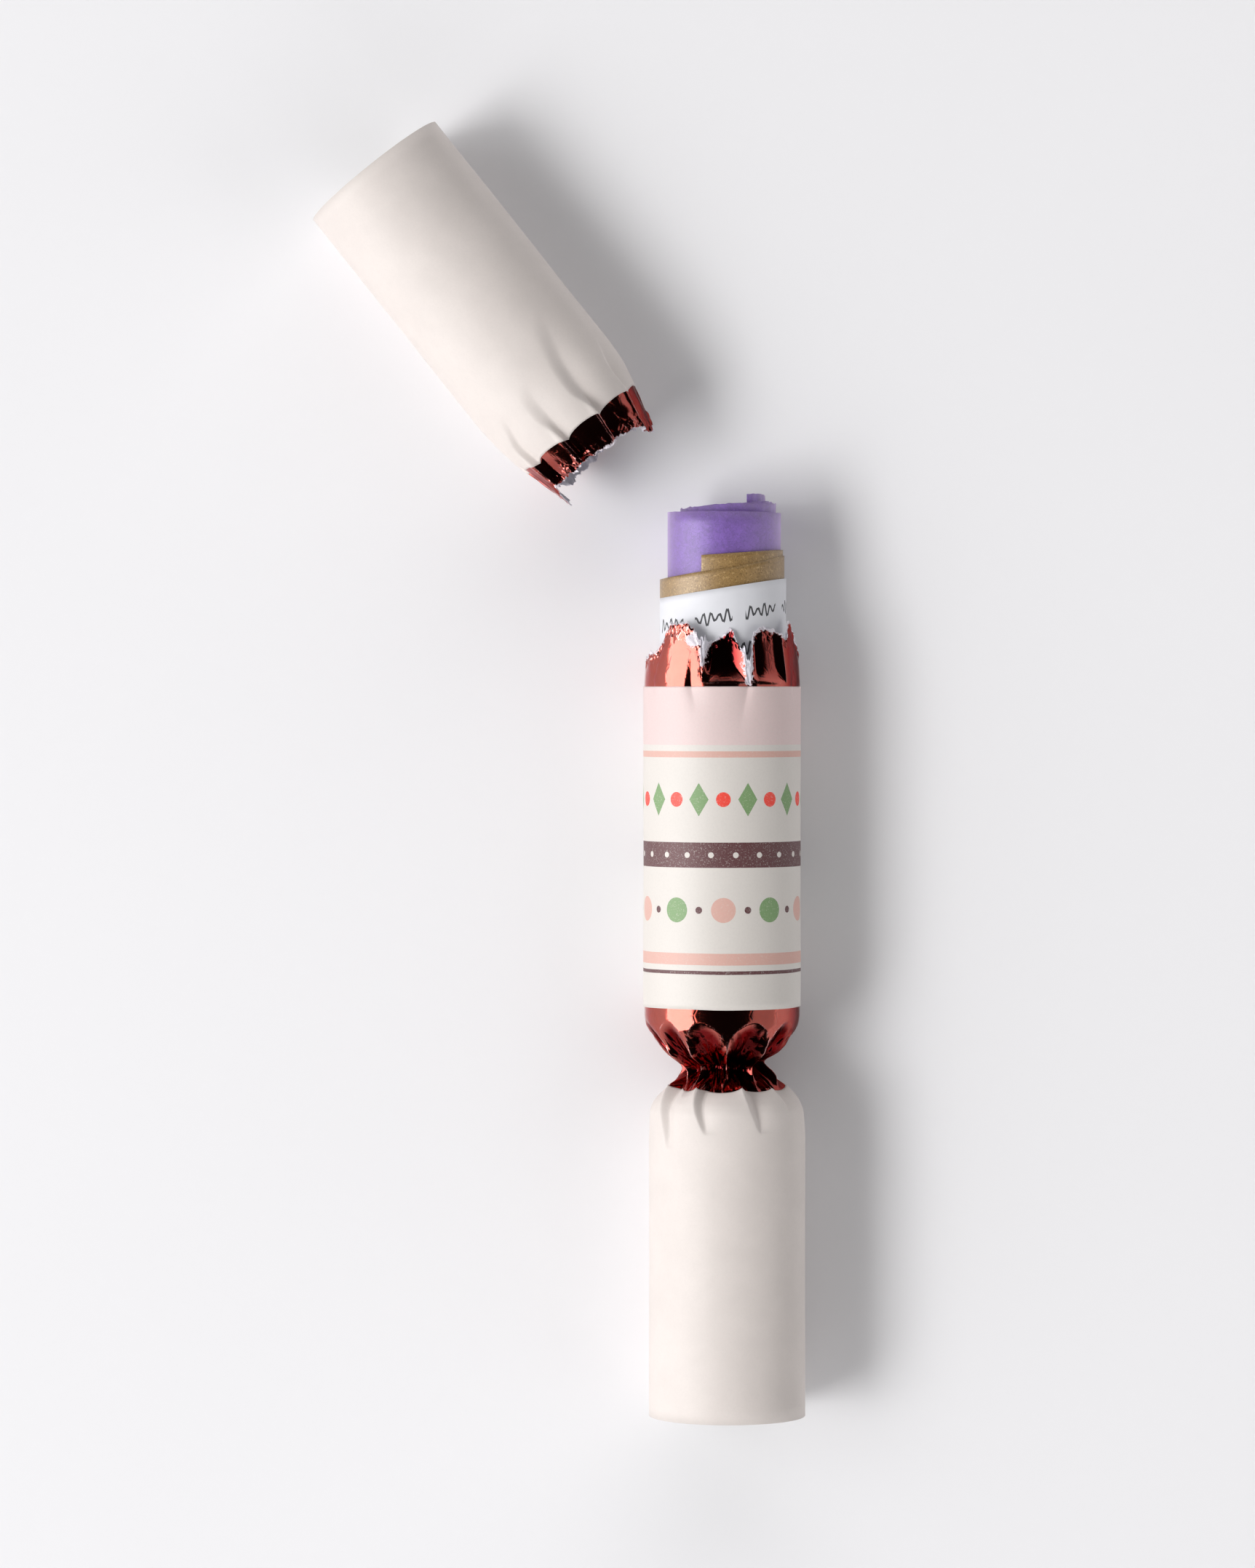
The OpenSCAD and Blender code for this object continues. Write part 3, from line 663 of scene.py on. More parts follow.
# %% Print
OFF_WHITE = (217, 211, 205)
BLUSH = (222, 200, 198)
ROSE = (216, 172, 160)
PLUM = (97, 62, 64)
LEAF_GREEN = (124, 156, 106)
BERRY_RED = (238, 74, 60)
PRINT_BANDS = [  # from, to, colour; millimetres below the sleeve's upper edge
    (-1.0, 15.0, BLUSH), (16.6, 18.2, ROSE), (40.0, 46.5, PLUM), (68.5, 71.5, ROSE), (73.0, 73.9, PLUM)]
PRINT_MOTIFS = [  # how many, shift in pitches, height on the sleeve, half width, half height, power, colour
    (10, 0.0, 29.0, 2.6, 4.3, 1, LEAF_GREEN), (10, 0.5, 29.0, 1.9, 1.9, 2, BERRY_RED),
    (20, 0.0, 43.25, 0.75, 0.75, 2, OFF_WHITE), (5, 0.0, 57.4, 3.2, 3.2, 2, LEAF_GREEN),
    (5, 0.5, 57.4, 3.2, 3.2, 2, ROSE), (10, 0.0, 57.4, 0.9, 0.9, 2, PLUM)]


def band(tree, v, low, high):
    """1 from low to high down the sleeve."""
    return calc(tree, "MULTIPLY", calc(tree, "GREATER_THAN", v, low), calc(tree, "LESS_THAN", v, high))


def motif(tree, u, v, count, shift, v0, w, h, power):
    """1 inside each of count shapes round the sleeve.

    The way across over w and the way down over h, each to the power, add to less than 1: power 2 is an
    ellipse and power 1 a diamond.
    """
    pitch = 2 * math.pi * BARREL_R / count
    cell = calc(tree, "FRACT", calc(tree, "ADD", calc(tree, "DIVIDE", u, pitch), shift))
    du = calc(tree, "MULTIPLY", calc(tree, "ABSOLUTE", calc(tree, "SUBTRACT", cell, 0.5)), pitch / w)
    dv = calc(tree, "DIVIDE", calc(tree, "ABSOLUTE", calc(tree, "SUBTRACT", v, v0)), h)
    both = calc(tree, "ADD", calc(tree, "POWER", du, power), calc(tree, "POWER", dv, power))
    return calc(tree, "LESS_THAN", both, 1.0)


def print_material(name):
    """The barrel's sleeve: bands and motifs of ink on off-white paper, with pale specks in the ink.

    u runs round the barrel, and v down from the sleeve's upper edge.
    """
    mat, tree, bsdf = new_material(name)
    u, v = sheet_mm(tree)
    off_white = srgb(*OFF_WHITE)
    masks = [(band(tree, v, low, high), colour) for low, high, colour in PRINT_BANDS]
    masks += [(motif(tree, u, v, *shape), colour) for *shape, colour in PRINT_MOTIFS]
    col = off_white
    ink = 0.0
    for mask, colour in masks:
        col = mix_color(tree, mask, col, srgb(*colour))
        ink = calc(tree, "MAXIMUM", ink, mask)
    pale = calc(tree, "MULTIPLY", ramp(tree, grain(tree, 2600.0, 3.0), 0.56, 0.68, 0.35), ink)
    col = mix_color(tree, pale, col, off_white)
    fine = grain(tree, 1800.0, 5.0, 0.7)
    col = mix_color(tree, ramp(tree, fine, 0.45, 0.75, 0.10), col, (0.35, 0.33, 0.31))
    tree.links.new(col, bsdf.inputs["Base Color"])
    tune(bsdf, Roughness=0.55, Specular_IOR_Level=0.4)
    bump(tree, bsdf, fine, 0.3, 0.00004)
    return mat


m_print = print_material("printed_paper")
print("print:", len(PRINT_BANDS), "bands and", len(PRINT_MOTIFS), "rows of motifs")

# %% [markdown]
# ## The slip
#
# A slip like this carries a few printed lines. They are left as rows of plain scribbles, which say
# "print" without saying anything. Each scribble is a sine wave with a varying height, drawn where the
# distance to it is small.

# %% Slip
SLIP_ROWS = [  # way down the slip, pitch of the words, inked share of it, shift in pitches
    (7.4, 13.5, 0.74, 0.30), (16.4, 10.5, 0.7, 0.1), (25.4, 14.8, 0.8, 0.6), (34.4, 12.1, 0.72, 0.4)]
SLIP_WAVE = 2.1
SLIP_INK = 0.27


def slip_material(name):
    """Thin bright paper with rows of scribbles.

    The way to a wave is the difference in height over the steepness, the root of 1 plus its slope
    squared.
    """
    mat, tree, bsdf = new_material(name)
    u, v = sheet_mm(tree)
    base = srgb(224, 224, 229)
    col = mix_color(tree, ramp(tree, grain(tree, 160.0, 3.0), 0.3, 0.7), base, times(base, 0.96))
    turn = calc(tree, "MULTIPLY", u, 2 * math.pi / SLIP_WAVE)
    tall = calc(tree, "MULTIPLY_ADD", calc(tree, "SINE", calc(tree, "MULTIPLY", u, 1.17)), 0.45, 1.0)
    wave = calc(tree, "MULTIPLY", calc(tree, "SINE", turn), tall)
    rise = calc(tree, "MULTIPLY", calc(tree, "COSINE", turn), tall)
    slope = calc(tree, "MULTIPLY", rise, 2 * math.pi / SLIP_WAVE)
    steep = calc(tree, "SQRT", calc(tree, "MULTIPLY_ADD", slope, slope, 1.0))
    ink = 0.0
    for v0, pitch, share, shift in SLIP_ROWS:
        cell = calc(tree, "FRACT", calc(tree, "ADD", calc(tree, "DIVIDE", u, pitch), shift))
        word = calc(tree, "LESS_THAN", calc(tree, "ABSOLUTE", calc(tree, "SUBTRACT", cell, 0.5)), share / 2)
        far = calc(tree, "ABSOLUTE", calc(tree, "SUBTRACT", calc(tree, "SUBTRACT", v, v0), wave))
        here = calc(tree, "LESS_THAN", calc(tree, "DIVIDE", far, steep), SLIP_INK)
        ink = calc(tree, "MAXIMUM", ink, calc(tree, "MULTIPLY", here, word))
    col = mix_color(tree, calc(tree, "MULTIPLY", ink, 0.93), col, srgb(30, 28, 34))
    tree.links.new(col, bsdf.inputs["Base Color"])
    tune(bsdf, Roughness=0.6)
    bump(tree, bsdf, grain(tree, 1600.0, 4.0), 0.25, 0.00003)
    return mat


m_slip = slip_material("slip_paper")
print("slip:", len(SLIP_ROWS), "rows of scribbles")

# %% [markdown]
# ## The barrel's sleeve
#
# The sleeve is a sheet of printed paper round a card tube. Where the neck was pulled off, two short dents
# run down from its upper edge. A plain cylinder would look new and stiff, so the sheet is slightly out of
# round.

# %% Mouth's dents
MOUTH_DENTS = [  # angle, drift, depth, reach down the sleeve
    (-25.0, 7.0, 0.75, 9.0), (19.0, -9.0, 0.95, 14.0), (-63.0, -3.0, 0.3, 7.0), (64.0, 4.0, 0.35, 8.0),
    (108.0, 0.0, 0.4, 10.0), (-118.0, 3.0, 0.4, 10.0)]
DRIFT_SIDE = (7.0, 10.0)  # degrees across on that side: at the edge; more where the dent ends
OTHER_SIDE = (3.0, 5.0)


def mouth_dents(angle, down):
    """Depth of the dents: a fade down the sleeve times a bell across, wider on the side it drifts to.

    The fade is the power 1.2 of 1 less the way down over the reach. The bell falls by the power 1.4 of
    the way across.
    """
    out = 0.0
    for centre, drift, size, reach in MOUTH_DENTS:
        t = np.clip(down / reach, 0, 1)
        off = apart(angle, centre + drift * t)
        wide = np.where(off * drift > 0, DRIFT_SIDE[0] + DRIFT_SIDE[1] * t, OTHER_SIDE[0] + OTHER_SIDE[1] * t)
        out = out + size * (1 - t) ** 1.2 * np.exp(-(np.abs(off) / wide) ** 1.4)
    return out


print("dents up to", max(d[2] for d in MOUTH_DENTS), "mm deep")

# %% Barrel sleeve
PAPER = 0.2
SLEEVE_COLUMNS = 480
ang = all_round(SLEEVE_COLUMNS)
down = np.concatenate([np.linspace(0, 14, 36), np.linspace(15, SLEEVE_LEN, 40)])[::-1][:, None]
wobble = 0.05 * noise(ang / 31.0, down / 26.0, 3) + 0.03 * noise(ang / 12.0, down / 9.0, 4)
y = -down + 0.12 * noise(ang / 25.0, down * 0, 5) * smooth((down - 60) / (SLEEVE_LEN - 60))
points = round_y(BARREL_R - 0.06 + wobble - mouth_dents(ang, down), ang, 0, y, BARREL_R)
grid_piece("printed_sleeve", meet(points, ang), sheet_uv(np.radians(ang) * BARREL_R, down),
           [m_print, m_white, m_white], "cracker", ["barrel_cover"], "printed_paper", PAPER, closed=True)

# %% [markdown]
# ## The whole neck: its shape
#
# Foil and cream sleeve are one wrap, gathered by a thread at the choke. Towards the choke, lens-shaped
# dents open between sharp ridges. Past it the folds turn into pleats that drop steeply on their left and
# rise gently to the right, and drift to the right as they fade. Cloth simulation could crumple a tube,
# but it can't be told where these folds lie, so one field of depths is written for both sheets.

# %% Neck profile
BOWL = [(0, 0), (0.16, 0.04), (0.37, 0.19), (0.56, 0.36), (0.71, 0.54), (0.82, 0.72), (0.92, 0.92), (1, 1)]
FLARE = [(0, 0), (0.08, 0.12), (0.2, 0.37), (0.25, 0.48), (0.37, 0.72), (0.5, 0.89), (0.63, 0.965), (1, 1)]
WAIST = 0.6


def neck_radius(y):
    """Radius over the folds: a cone that curls into the choke, then a bell out to the whole end's tube.

    Near the choke the way out from its radius, d, is rounded to the root of d squared plus WAIST squared.
    """
    bowl = BARREL_R - (BARREL_R - CHOKE_R) * curve((TUBE_Y - y) / (TUBE_Y - CHOKE_Y), BOWL)
    flare = CHOKE_R + (END_R - CHOKE_R) * curve((CHOKE_Y - y) / (CHOKE_Y - END_TUBE_Y), FLARE)
    out = np.where(y >= CHOKE_Y, bowl, flare) - CHOKE_R
    return CHOKE_R + np.sqrt(out ** 2 + WAIST ** 2) - 0.4 * np.exp(-out / 2.0)


def neck_axis(y):
    """Sideways place and height of the neck's middle, from the barrel's to the whole end's."""
    t = smooth((TUBE_Y - y) / (TUBE_Y - END_TUBE_Y))
    return END_SHIFT * t, BARREL_R + (END_R - BARREL_R) * t


print("waist", round(2 * float(neck_radius(np.array(CHOKE_Y))), 1), "mm across over the folds")

# %% Neck folds
PAINTED_SHADE_AWAY = 0.7  # strength of the painted shade on the foil's right side, away from the window
LENS_DEPTH = 3.1
LENS_MORE = 0.5
PLEAT_DEPTH = 2.8
PLEAT_SHIFT = 3.5
LENS_POWER = 1.7
LENS_OPENS = (0.07, 0.38)  # share of the way to the choke where a lens opens: middle; more at its ridge
PLEAT_LEFT = (3.0, 5.5)  # degrees of a pleat's left wall: where it has faded; more at the choke
PLEAT_FLAT = 2.0
PLEAT_RIGHT = (4.0, 10.0)
PLEAT_REACH = 3.0
SCALLOP_WIDE = 6.5  # degrees
VALLEYS = [  # angles at the tube, the choke, the cream edge, the shoulder's end; depth; length in the cream
    (-80, -76, -65, -48, 1.0, 1.0), (-45, -49, -49, -37, 0.8, 0.15), (-18, -18, -26.5, -9, 1.0, 0.73),
    (24, 23, 18, 31, 1.05, 0.72), (56, 58, 53, 60, 1.0, 0.36), (92, 92, 88, 105, 1.0, 0.7),
    (130, 130, 126, 143, 1.0, 0.8), (168, 168, 164, 181, 1.0, 0.7), (206, 206, 202, 219, 1.0, 0.8),
    (244, 244, 240, 257, 1.0, 0.8)]


def neck_depth(y, angle):
    """Depth of the folds in mm, how far the cream edge reaches over the foil, and the foil's painted shade.

    A lens is 1 minus the power LENS_POWER of the way from its middle to its ridge, and opens past an arc.
    A pleat is an eased step on its left and an exponential on its right.
    """
    s = np.clip((TUBE_Y - y) / (TUBE_Y - CHOKE_Y), 0, 1)
    q = np.clip((CHOKE_Y - y) / (CHOKE_Y - LINE_Y), 0, 6)
    rows = (END_TUBE_Y - 3, LINE_Y, CHOKE_Y, TUBE_Y)
    centres = [curve(y, list(zip(rows, v[3::-1]))) for v in VALLEYS]
    n = len(VALLEYS)
    lens = np.zeros(np.broadcast(y, angle).shape)
    pleat = np.zeros_like(lens)
    over = np.zeros_like(lens)
    for k, valley in enumerate(VALLEYS):
        left = apart(centres[k], centres[k - 1]) / 2
        right = apart(centres[(k + 1) % n], centres[k]) / 2
        off = apart(angle, centres[k])
        t = np.abs(np.where(off < 0, off / left, off / right))
        start = LENS_OPENS[0] + LENS_OPENS[1] * np.minimum(t, 1) ** 2
        g = np.clip((s - start) / (1 - start), 0, 1)
        hollow = valley[4] * np.clip(1 - t ** LENS_POWER, 0, 1)
        lens = np.maximum(lens, hollow * (1 - (1 - g) ** 2.4) * (t < 1))
        off = off + PLEAT_SHIFT
        reach = max(valley[5], 0.25)
        fade = np.clip(1 - (q - 1) / (PLEAT_REACH * reach), 0, 1) ** 0.75
        drop = PLEAT_LEFT[0] + PLEAT_LEFT[1] * fade
        flat = PLEAT_FLAT * fade
        wide = PLEAT_RIGHT[0] + PLEAT_RIGHT[1] * fade
        tail = np.exp(-(np.clip(off - drop - flat, 0, 90) / wide) ** 1.15)
        shape = np.where(off < drop, smooth(off / drop), tail)
        pleat = np.maximum(pleat, np.where(off > 0, shape, 0) * fade * (0.3 + 0.7 * min(1, reach * 1.4)))
        over = np.maximum(over, np.exp(-np.abs(off) / SCALLOP_WIDE) * (0.35 + 0.65 * reach))
    mix = smooth((q - 0.1) / 0.9)
    depth = (LENS_DEPTH + LENS_MORE * smooth((s - 0.6) / 0.4)) * lens * (1 - mix) + PLEAT_DEPTH * pleat * mix
    # Painted shade for the foil, 0 to 1: deep in the lens-shaped dents, near the choke, and on the right
    # side, away from the window.
    deep = smooth(2.8 * lens) * (1 - 0.5 * mix)
    deep = np.maximum(deep, 0.55 * smooth((s - 0.75) / 0.2))
    return depth, over, np.maximum(deep, PAINTED_SHADE_AWAY * smooth((angle - 44.0) / 34.0))


print("valleys at", [v[1] for v in VALLEYS], "degrees round the choke")

# %% Neck surface
SCALLOP = 1.7  # how far the cream edge reaches over the foil at a fold
SCALLOP_BACK = 0.6  # and how far back it lies between the folds
BAG = 0.9  # how much the foil bags out above the choke
BAG_UP = 3.6
BAG_HALF = 1.5


def neck_surface(y, angle, inset, crumple=0.0):
    """Points of the neck, moved in by inset and crumpled at its gathers, and the foil's painted shade.

    Its waist isn't level. The foil's gathers run along the neck, so their creases are drawn out along y.
    """
    depth, over, deep = neck_depth(y, angle)
    x0, z0 = neck_axis(y)
    waist = np.exp(-((y - CHOKE_Y) / 3.4) ** 2) * np.clip((y - LINE_Y) / 2.0, 0, 1)
    wander = 0.9 * np.sin(np.radians(angle)) + 1.5 * noise(angle / 21.0, y * 0 + 3.0, 17)
    r = neck_radius(y - wander * waist) - depth - inset
    if crumple:
        s = (TUBE_Y - y) / (TUBE_Y - CHOKE_Y)
        near = smooth((s - 0.12) / 0.4) * (1 - smooth((LINE_Y + 0.8 - y) / 2.4))
        u = angle * 0.28 + 0.12 * (y - CHOKE_Y)
        folded = 0.75 * creases(u * 1.15, y * 0.33, 11, 2.6) + 0.28 * creases(u, y * 0.8, 12, 1.5)
        r = r + near * crumple * folded
        bag = np.exp(-((y - CHOKE_Y - BAG_UP - 0.8 * noise(angle / 15.0, y * 0, 15)) / BAG_HALF) ** 2)
        some = np.clip(np.abs(noise(angle / 30.0, y * 0, 18)) * 3, 0, 1)
        r = r + BAG * bag * noise(angle / 11.0, y * 0 + 1.0, 16) * some
        r = r + 0.04 * noise(angle / 9.0, y / 3.0, 13) - 0.45 * smooth((LINE_Y + 0.4 - y) / 1.6)
    near_line = np.clip(1 - np.abs(y - LINE_Y) / 5.0, 0, 1)
    return round_y(r, angle, x0, y + (SCALLOP * over - SCALLOP_BACK) * near_line, z0), deep


depth, over, deep = neck_depth(np.array([[CHOKE_Y]]), all_round(720))
print("folds at the choke, up to", round(float(depth.max()), 1), "mm deep")

# %% [markdown]
# ## The whole neck: its two sheets
#
# On the real object the cream paper is laid over the foil and gathered with it, so both sheets read the
# same field, the foil a little further in. The foil runs on under both sleeves, where it is glued.

# %% Neck foil and whole end
FOIL_IN = 0.34
FOIL_T = 0.12
NECK_ARC = 0.3  # millimetres of sheet per degree
NECK_COLUMNS = 640
END_COLUMNS = 600
ang = all_round(NECK_COLUMNS)
y = np.concatenate([[-119.8, -117.0, -113.0, -110.0, -107.5], np.linspace(-106, -98, 26),
                    np.linspace(-97.7, -84.6, 36), [-83.5, -82.5, -78.0, -67.0]])[:, None]
# The second value is painted shade; it goes to the foil as its fold mark.
points, deep = neck_surface(y, ang, FOIL_IN, 1.0)
grid_piece("neck_foil_wrap", meet(points, ang), sheet_uv(ang * NECK_ARC, y), [m_foil, m_white, m_white],
           "cracker", ["neck_foil"], "foil_paper", FOIL_T, {"fold": deep}, closed=True)

ang = all_round(END_COLUMNS)
y = np.concatenate([np.linspace(RIM_Y, -121, 20), np.linspace(-120, LINE_Y, 54)])[:, None]
points, deep = neck_surface(y, ang, 0.0)
out_of_round = 0.06 * noise(ang / 40.0, y / 30.0, 21) * smooth((LINE_Y - 8 - y) / 10)
points = points + round_y(out_of_round - 0.05, ang, 0, 0 * y, 0)
grid_piece("end_sleeve", meet(points, ang), sheet_uv(np.radians(ang) * END_R, y), [m_cream, m_white, m_white],
           "cracker", ["end_cover"], "cream_paper", PAPER, closed=True)

# %% [markdown]
# ## The torn collar: its shape
#
# When the cracker was pulled, the upper neck tore. Its stub stands round the mouth as a ring of panels
# that lean in, with slits between them, crumpled tops and a torn edge. The edge is a line of heights by
# angle, read off the real one, with teeth added, and rows of the grid follow it, so the tear is real
# geometry. The mouth of the card tube beneath gives way with the sleeve's dents and the panels' hollows.

# %% Collar shape
COLLAR = [(-180, 9.8), (-150, 8.4), (-142, 4.0), (-133, 7.6), (-108, 8.3), (-98, 7.6), (-90, 7.9),
          (-76, 8.4), (-68, 9.4), (-60, 10.2), (-56, 12.9), (-51, 16.4), (-40, 16.8), (-30, 16.6),
          (-24, 15.2), (-21, 13.4), (-18, 11.6), (-16.6, 7.6), (-15.8, 4.8), (-14.8, 8.8), (-13, 11.2),
          (-9, 11.6), (-4, 12.3), (2, 13.6), (6, 14.3), (9.5, 15.0), (12, 12.9), (15.5, 10.4),
          (17.4, 8.6), (18.6, 1.4), (20.4, 0.8), (21.6, 4.0), (23.6, 9.0), (25.4, 12.4), (28.5, 14.4),
          (36, 14.8), (45, 14.4), (52, 13.9), (58, 12.8), (61, 13.2), (65, 16.0), (70, 17.0), (74, 15.2),
          (79, 11.4), (88, 10.2), (104, 9.8), (110, 4.2), (117, 9.1), (140, 10.1), (151, 5.7), (160, 9.1),
          (180, 9.8)]
COLLAR_FOLDS = [  # angle at the sleeve, at the top; depth
    (-62, -57, 0.9), (108, 108, 1.5), (150, 150, 1.4), (195, 195, 1.3), (240, 240, 1.4), (274, 276, 1.2)]
COLLAR_DISHES = [  # left edge, foot of the left wall, right edge, how fast the rise widens, greatest depth
    (-16.0, -10.0, 18.8, 2.1, 4.0), (20.4, 28.0, 54.0, 1.6, 1.7)]
BARE_PATCH = (-24.0, 11.9, 6.0, 1.7)  # angle, height, half width in degrees, half height
LEAN = 2.3  # how far the upright panels lean in
CRUSHED = 4.0  # millimetres below the tear where the crumples start
LOOSE = (-38.0, 15.0, 3.0)  # panel crumpled further down: angle, half width in degrees, millimetres more
WRAPPED_R = 16.9  # of the hat roll with its strip and slip
COLLAR_IN = 0.30  # how far inside the printed sleeve's outside the foil lies
COLLAR_R = 19.0  # of the sheet about the tear
COLLAR_ARC = 0.35  # millimetres of sheet per degree
print("collar's tear from", min(c[1] for c in COLLAR), "to", max(c[1] for c in COLLAR), "mm above the sleeve")

# %% Torn edges
def jagged(angle, seed, size):
    """Teeth of a torn edge: three sizes of noise, the finest folded into points."""
    zero = angle * 0
    fine = 1 - 2 * np.abs(noise(angle / 0.8, zero + 9, seed + 2))
    waves = 0.5 * noise(angle / 6.0, zero, seed) + 0.45 * noise(angle / 2.2, zero + 5, seed + 1)
    return size * (waves + 0.3 * fine)


def edge_distance(h, top, radius, reach=14):
    """How far each place is from the tear, in millimetres, on a sheet of about the given radius.

    It is the least, over the columns less than reach steps away, of the root of the way across squared
    plus the way up to that column's tear squared.
    """
    step = math.radians(360 / (top.size - 1)) * radius
    out = top - h
    for k in range(1, reach):
        for side in (k, -k):
            out = np.minimum(out, np.hypot(k * step, np.maximum(np.roll(top, side, axis=1) - h, 0)))
    return out


print("teeth up to", round(float(jagged(all_round(720), 40, 0.8).max()), 2), "mm high")

# %% Collar surface
def collar_dish(h, angle):
    """Depth of the panels' hollows: an eased wall on the left and a long rise to the right edge.

    The rise is a parabola of the way in from the right edge, steepest there, and ends where that way is
    more than the height above the card allows, so the hollow's floor is cut off by a slanting fold. It
    levels off at deepest: the depth is the product of the two over the fourth root of the sum of their
    fourth powers.
    """
    out = np.zeros(np.broadcast(h, angle).shape)
    for left, foot, right, widen, deepest in COLLAR_DISHES:
        wall = smooth((angle - left) / (foot - left))
        way = np.clip(np.minimum(right - angle, widen * (h - 1.0)), 0, 24)
        rise = 0.36 * (1.15 * way - 0.022 * way ** 2)
        out = np.maximum(out, rise * deepest / (rise ** 4 + deepest ** 4) ** 0.25 * wall)
    return out


def collar_surface(share, angle, inset, extra, seed):
    """Points of the collar, share 0 at the sleeve and 1 at the tear; also its marks and its heights.

    Its radius is the sleeve's, less a lean, the folds and the hollows, plus the crumples, but never less
    than the wrapped roll's, which is WRAPPED_R about the roll's own middle.
    """
    top = np.interp(angle, [c[0] for c in COLLAR], [c[1] for c in COLLAR]) + extra
    top = np.maximum(top + 0.45 * noise(angle / 6.0, angle * 0, seed), 0.6)
    h = np.where(share >= 0, share * top + jagged(angle, seed, 0.8) * np.clip(share, 0, 1) ** 5, share * LAP)
    t = np.clip((h - TUBE_REACH * 0.4) / 15.0, 0, 1.2)
    upright = (1 + np.cos(np.radians(angle))) / 2
    fold = np.zeros(np.broadcast(h, angle).shape)
    for low, high, size in COLLAR_FOLDS:
        off = np.abs(apart(angle, low + (high - low) * t))
        fold = np.maximum(fold, size * np.clip(1 - off / (9 + 4 * t), 0, 1) ** 1.5)
    dish = collar_dish(h, angle)
    lean = LEAN * t ** 1.3 * (0.35 + 0.65 * upright)
    loose = LOOSE[2] * np.exp(-((angle - LOOSE[0]) / LOOSE[1]) ** 2)
    crush = smooth((h - top + CRUSHED + loose) / (3.0 + loose)) * smooth(h / 3.0)
    u = angle * COLLAR_ARC
    rough = crush * (0.85 * creases(u, h, seed + 30, 2.6) + 0.35 * creases(u, h, seed + 31, 1.2))
    rough = rough + 0.16 * smooth(h / 3) * creases(u, h, seed + 32, 7.0)
    rough = rough + 0.25 * noise(angle / 17.0, h / 8.0, seed + 20) * t
    dents = mouth_dents(angle, np.maximum(-h, 0)) * np.exp(-np.maximum(h, 0) / 4.0)
    base = BARREL_R - COLLAR_IN - inset - dents
    r = base - lean - dish - fold * upright * smooth(t * 1.6) + rough
    r = np.minimum(r, base + 0.5 * np.clip(t, 0, 1))
    a = np.radians(angle)
    roll = WRAPPED_R + ROLL_X * np.sin(a) - (BARREL_R - ROLL_Z) * np.cos(a) - inset
    r = np.maximum(r, np.minimum(roll, base))
    tear = edge_distance(h, top, COLLAR_R)
    where = np.hypot((angle - BARE_PATCH[0]) / BARE_PATCH[2], (h - BARE_PATCH[1]) / BARE_PATCH[3])
    tear = np.minimum(tear + 0.2, 1.6 * where - 1.0)
    # Painted shade for the foil, 0 to 1: in the hollows, in the crumples' dents, and on the right side, away
    # from the window.
    deep = np.clip(dish / 3.0 + 0.5 * crush * np.clip(-rough, 0, 1), 0, 1)
    deep = np.maximum(deep, PAINTED_SHADE_AWAY * smooth((angle - 46) / 14.0))
    return round_y(r, angle, 0, h, BARREL_R - 0.8 * np.clip(t, 0, 1)), {"tear": tear, "fold": deep}, h


print("hollows up to", max(d[4] for d in COLLAR_DISHES), "mm deep")

# %% Barrel's card tube
TUBE_COLUMNS = 360
TUBE_ARC = 0.34  # millimetres of sheet per degree
ang = all_round(TUBE_COLUMNS)
y = np.concatenate([np.linspace(TUBE_Y, -15, 12), np.linspace(-14, TUBE_REACH, 24)])[:, None]
r = BARREL_R - CARD_DROP - mouth_dents(ang, np.maximum(-y, 0)) - collar_dish(y, ang) * smooth(y / TUBE_REACH)
points = round_y(r, ang, 0, y, BARREL_R)
grid_piece("barrel_card", meet(points, ang), sheet_uv(ang * TUBE_ARC, y), [m_card], "cracker",
           ["barrel_tube"], "tube_card", CARD, closed=True)

# %% [markdown]
# ## The torn collar: foil and paper
#
# The foil is laminated to white paper. At the tear the paper stands a little past the foil in places, so
# a second thin sheet lies inside the first, with its own edge that reaches into the slits.

# %% Collar's foil
TORN_FOIL_T = 0.1
TORN_COLUMNS = 900
ang = all_round(TORN_COLUMNS)
share = np.concatenate([np.linspace(-1.0, -0.05, 14), np.linspace(0, 1, 38)])[:, None]
points, marks, h = collar_surface(share, ang, 0.0, 0.0, 40)
grid_piece("foil_collar_wrap", meet(points, ang), sheet_uv(ang * COLLAR_ARC, h), [m_foil_torn, m_ply, m_ply],
           "cracker", ["foil_collar"], "foil_paper", TORN_FOIL_T, marks, closed=True)

# %% Collar's paper
PLY_REACH = [  # angle, width, how far the paper stands past the foil
    (-15.8, 1.8, 5.5), (19.8, 2.6, 7.0), (-22.0, 5.0, 0.8), (24.5, 1.6, 1.2), (60.0, 2.5, 1.2)]
PLY_IN = 0.28
PLY_T = 0.06
share = np.linspace(0.0, 1, 26)[:, None]
extra = -0.6 + 0.9 * noise(ang / 5.0, ang * 0, 61)
extra = extra + sum(reach * np.exp(-((ang - at) / wide) ** 2) for at, wide, reach in PLY_REACH)
points, marks, h = collar_surface(share, ang, PLY_IN, extra, 40)
grid_piece("collar_paper_ply", meet(points, ang), sheet_uv(ang * COLLAR_ARC, h), [m_ply], "cracker", None,
           "foil_paper", PLY_T, closed=True)

# %% [markdown]
# ## The torn-off end: its shape
#
# It is the same sleeve as the whole end. With its foil torn away, the pleats have opened: long soft
# troughs run up from the foil, each on its own bent line, steep on the left and gentle on the right. Each
# trough is given by the angles its line passes, and fades by its own reach.

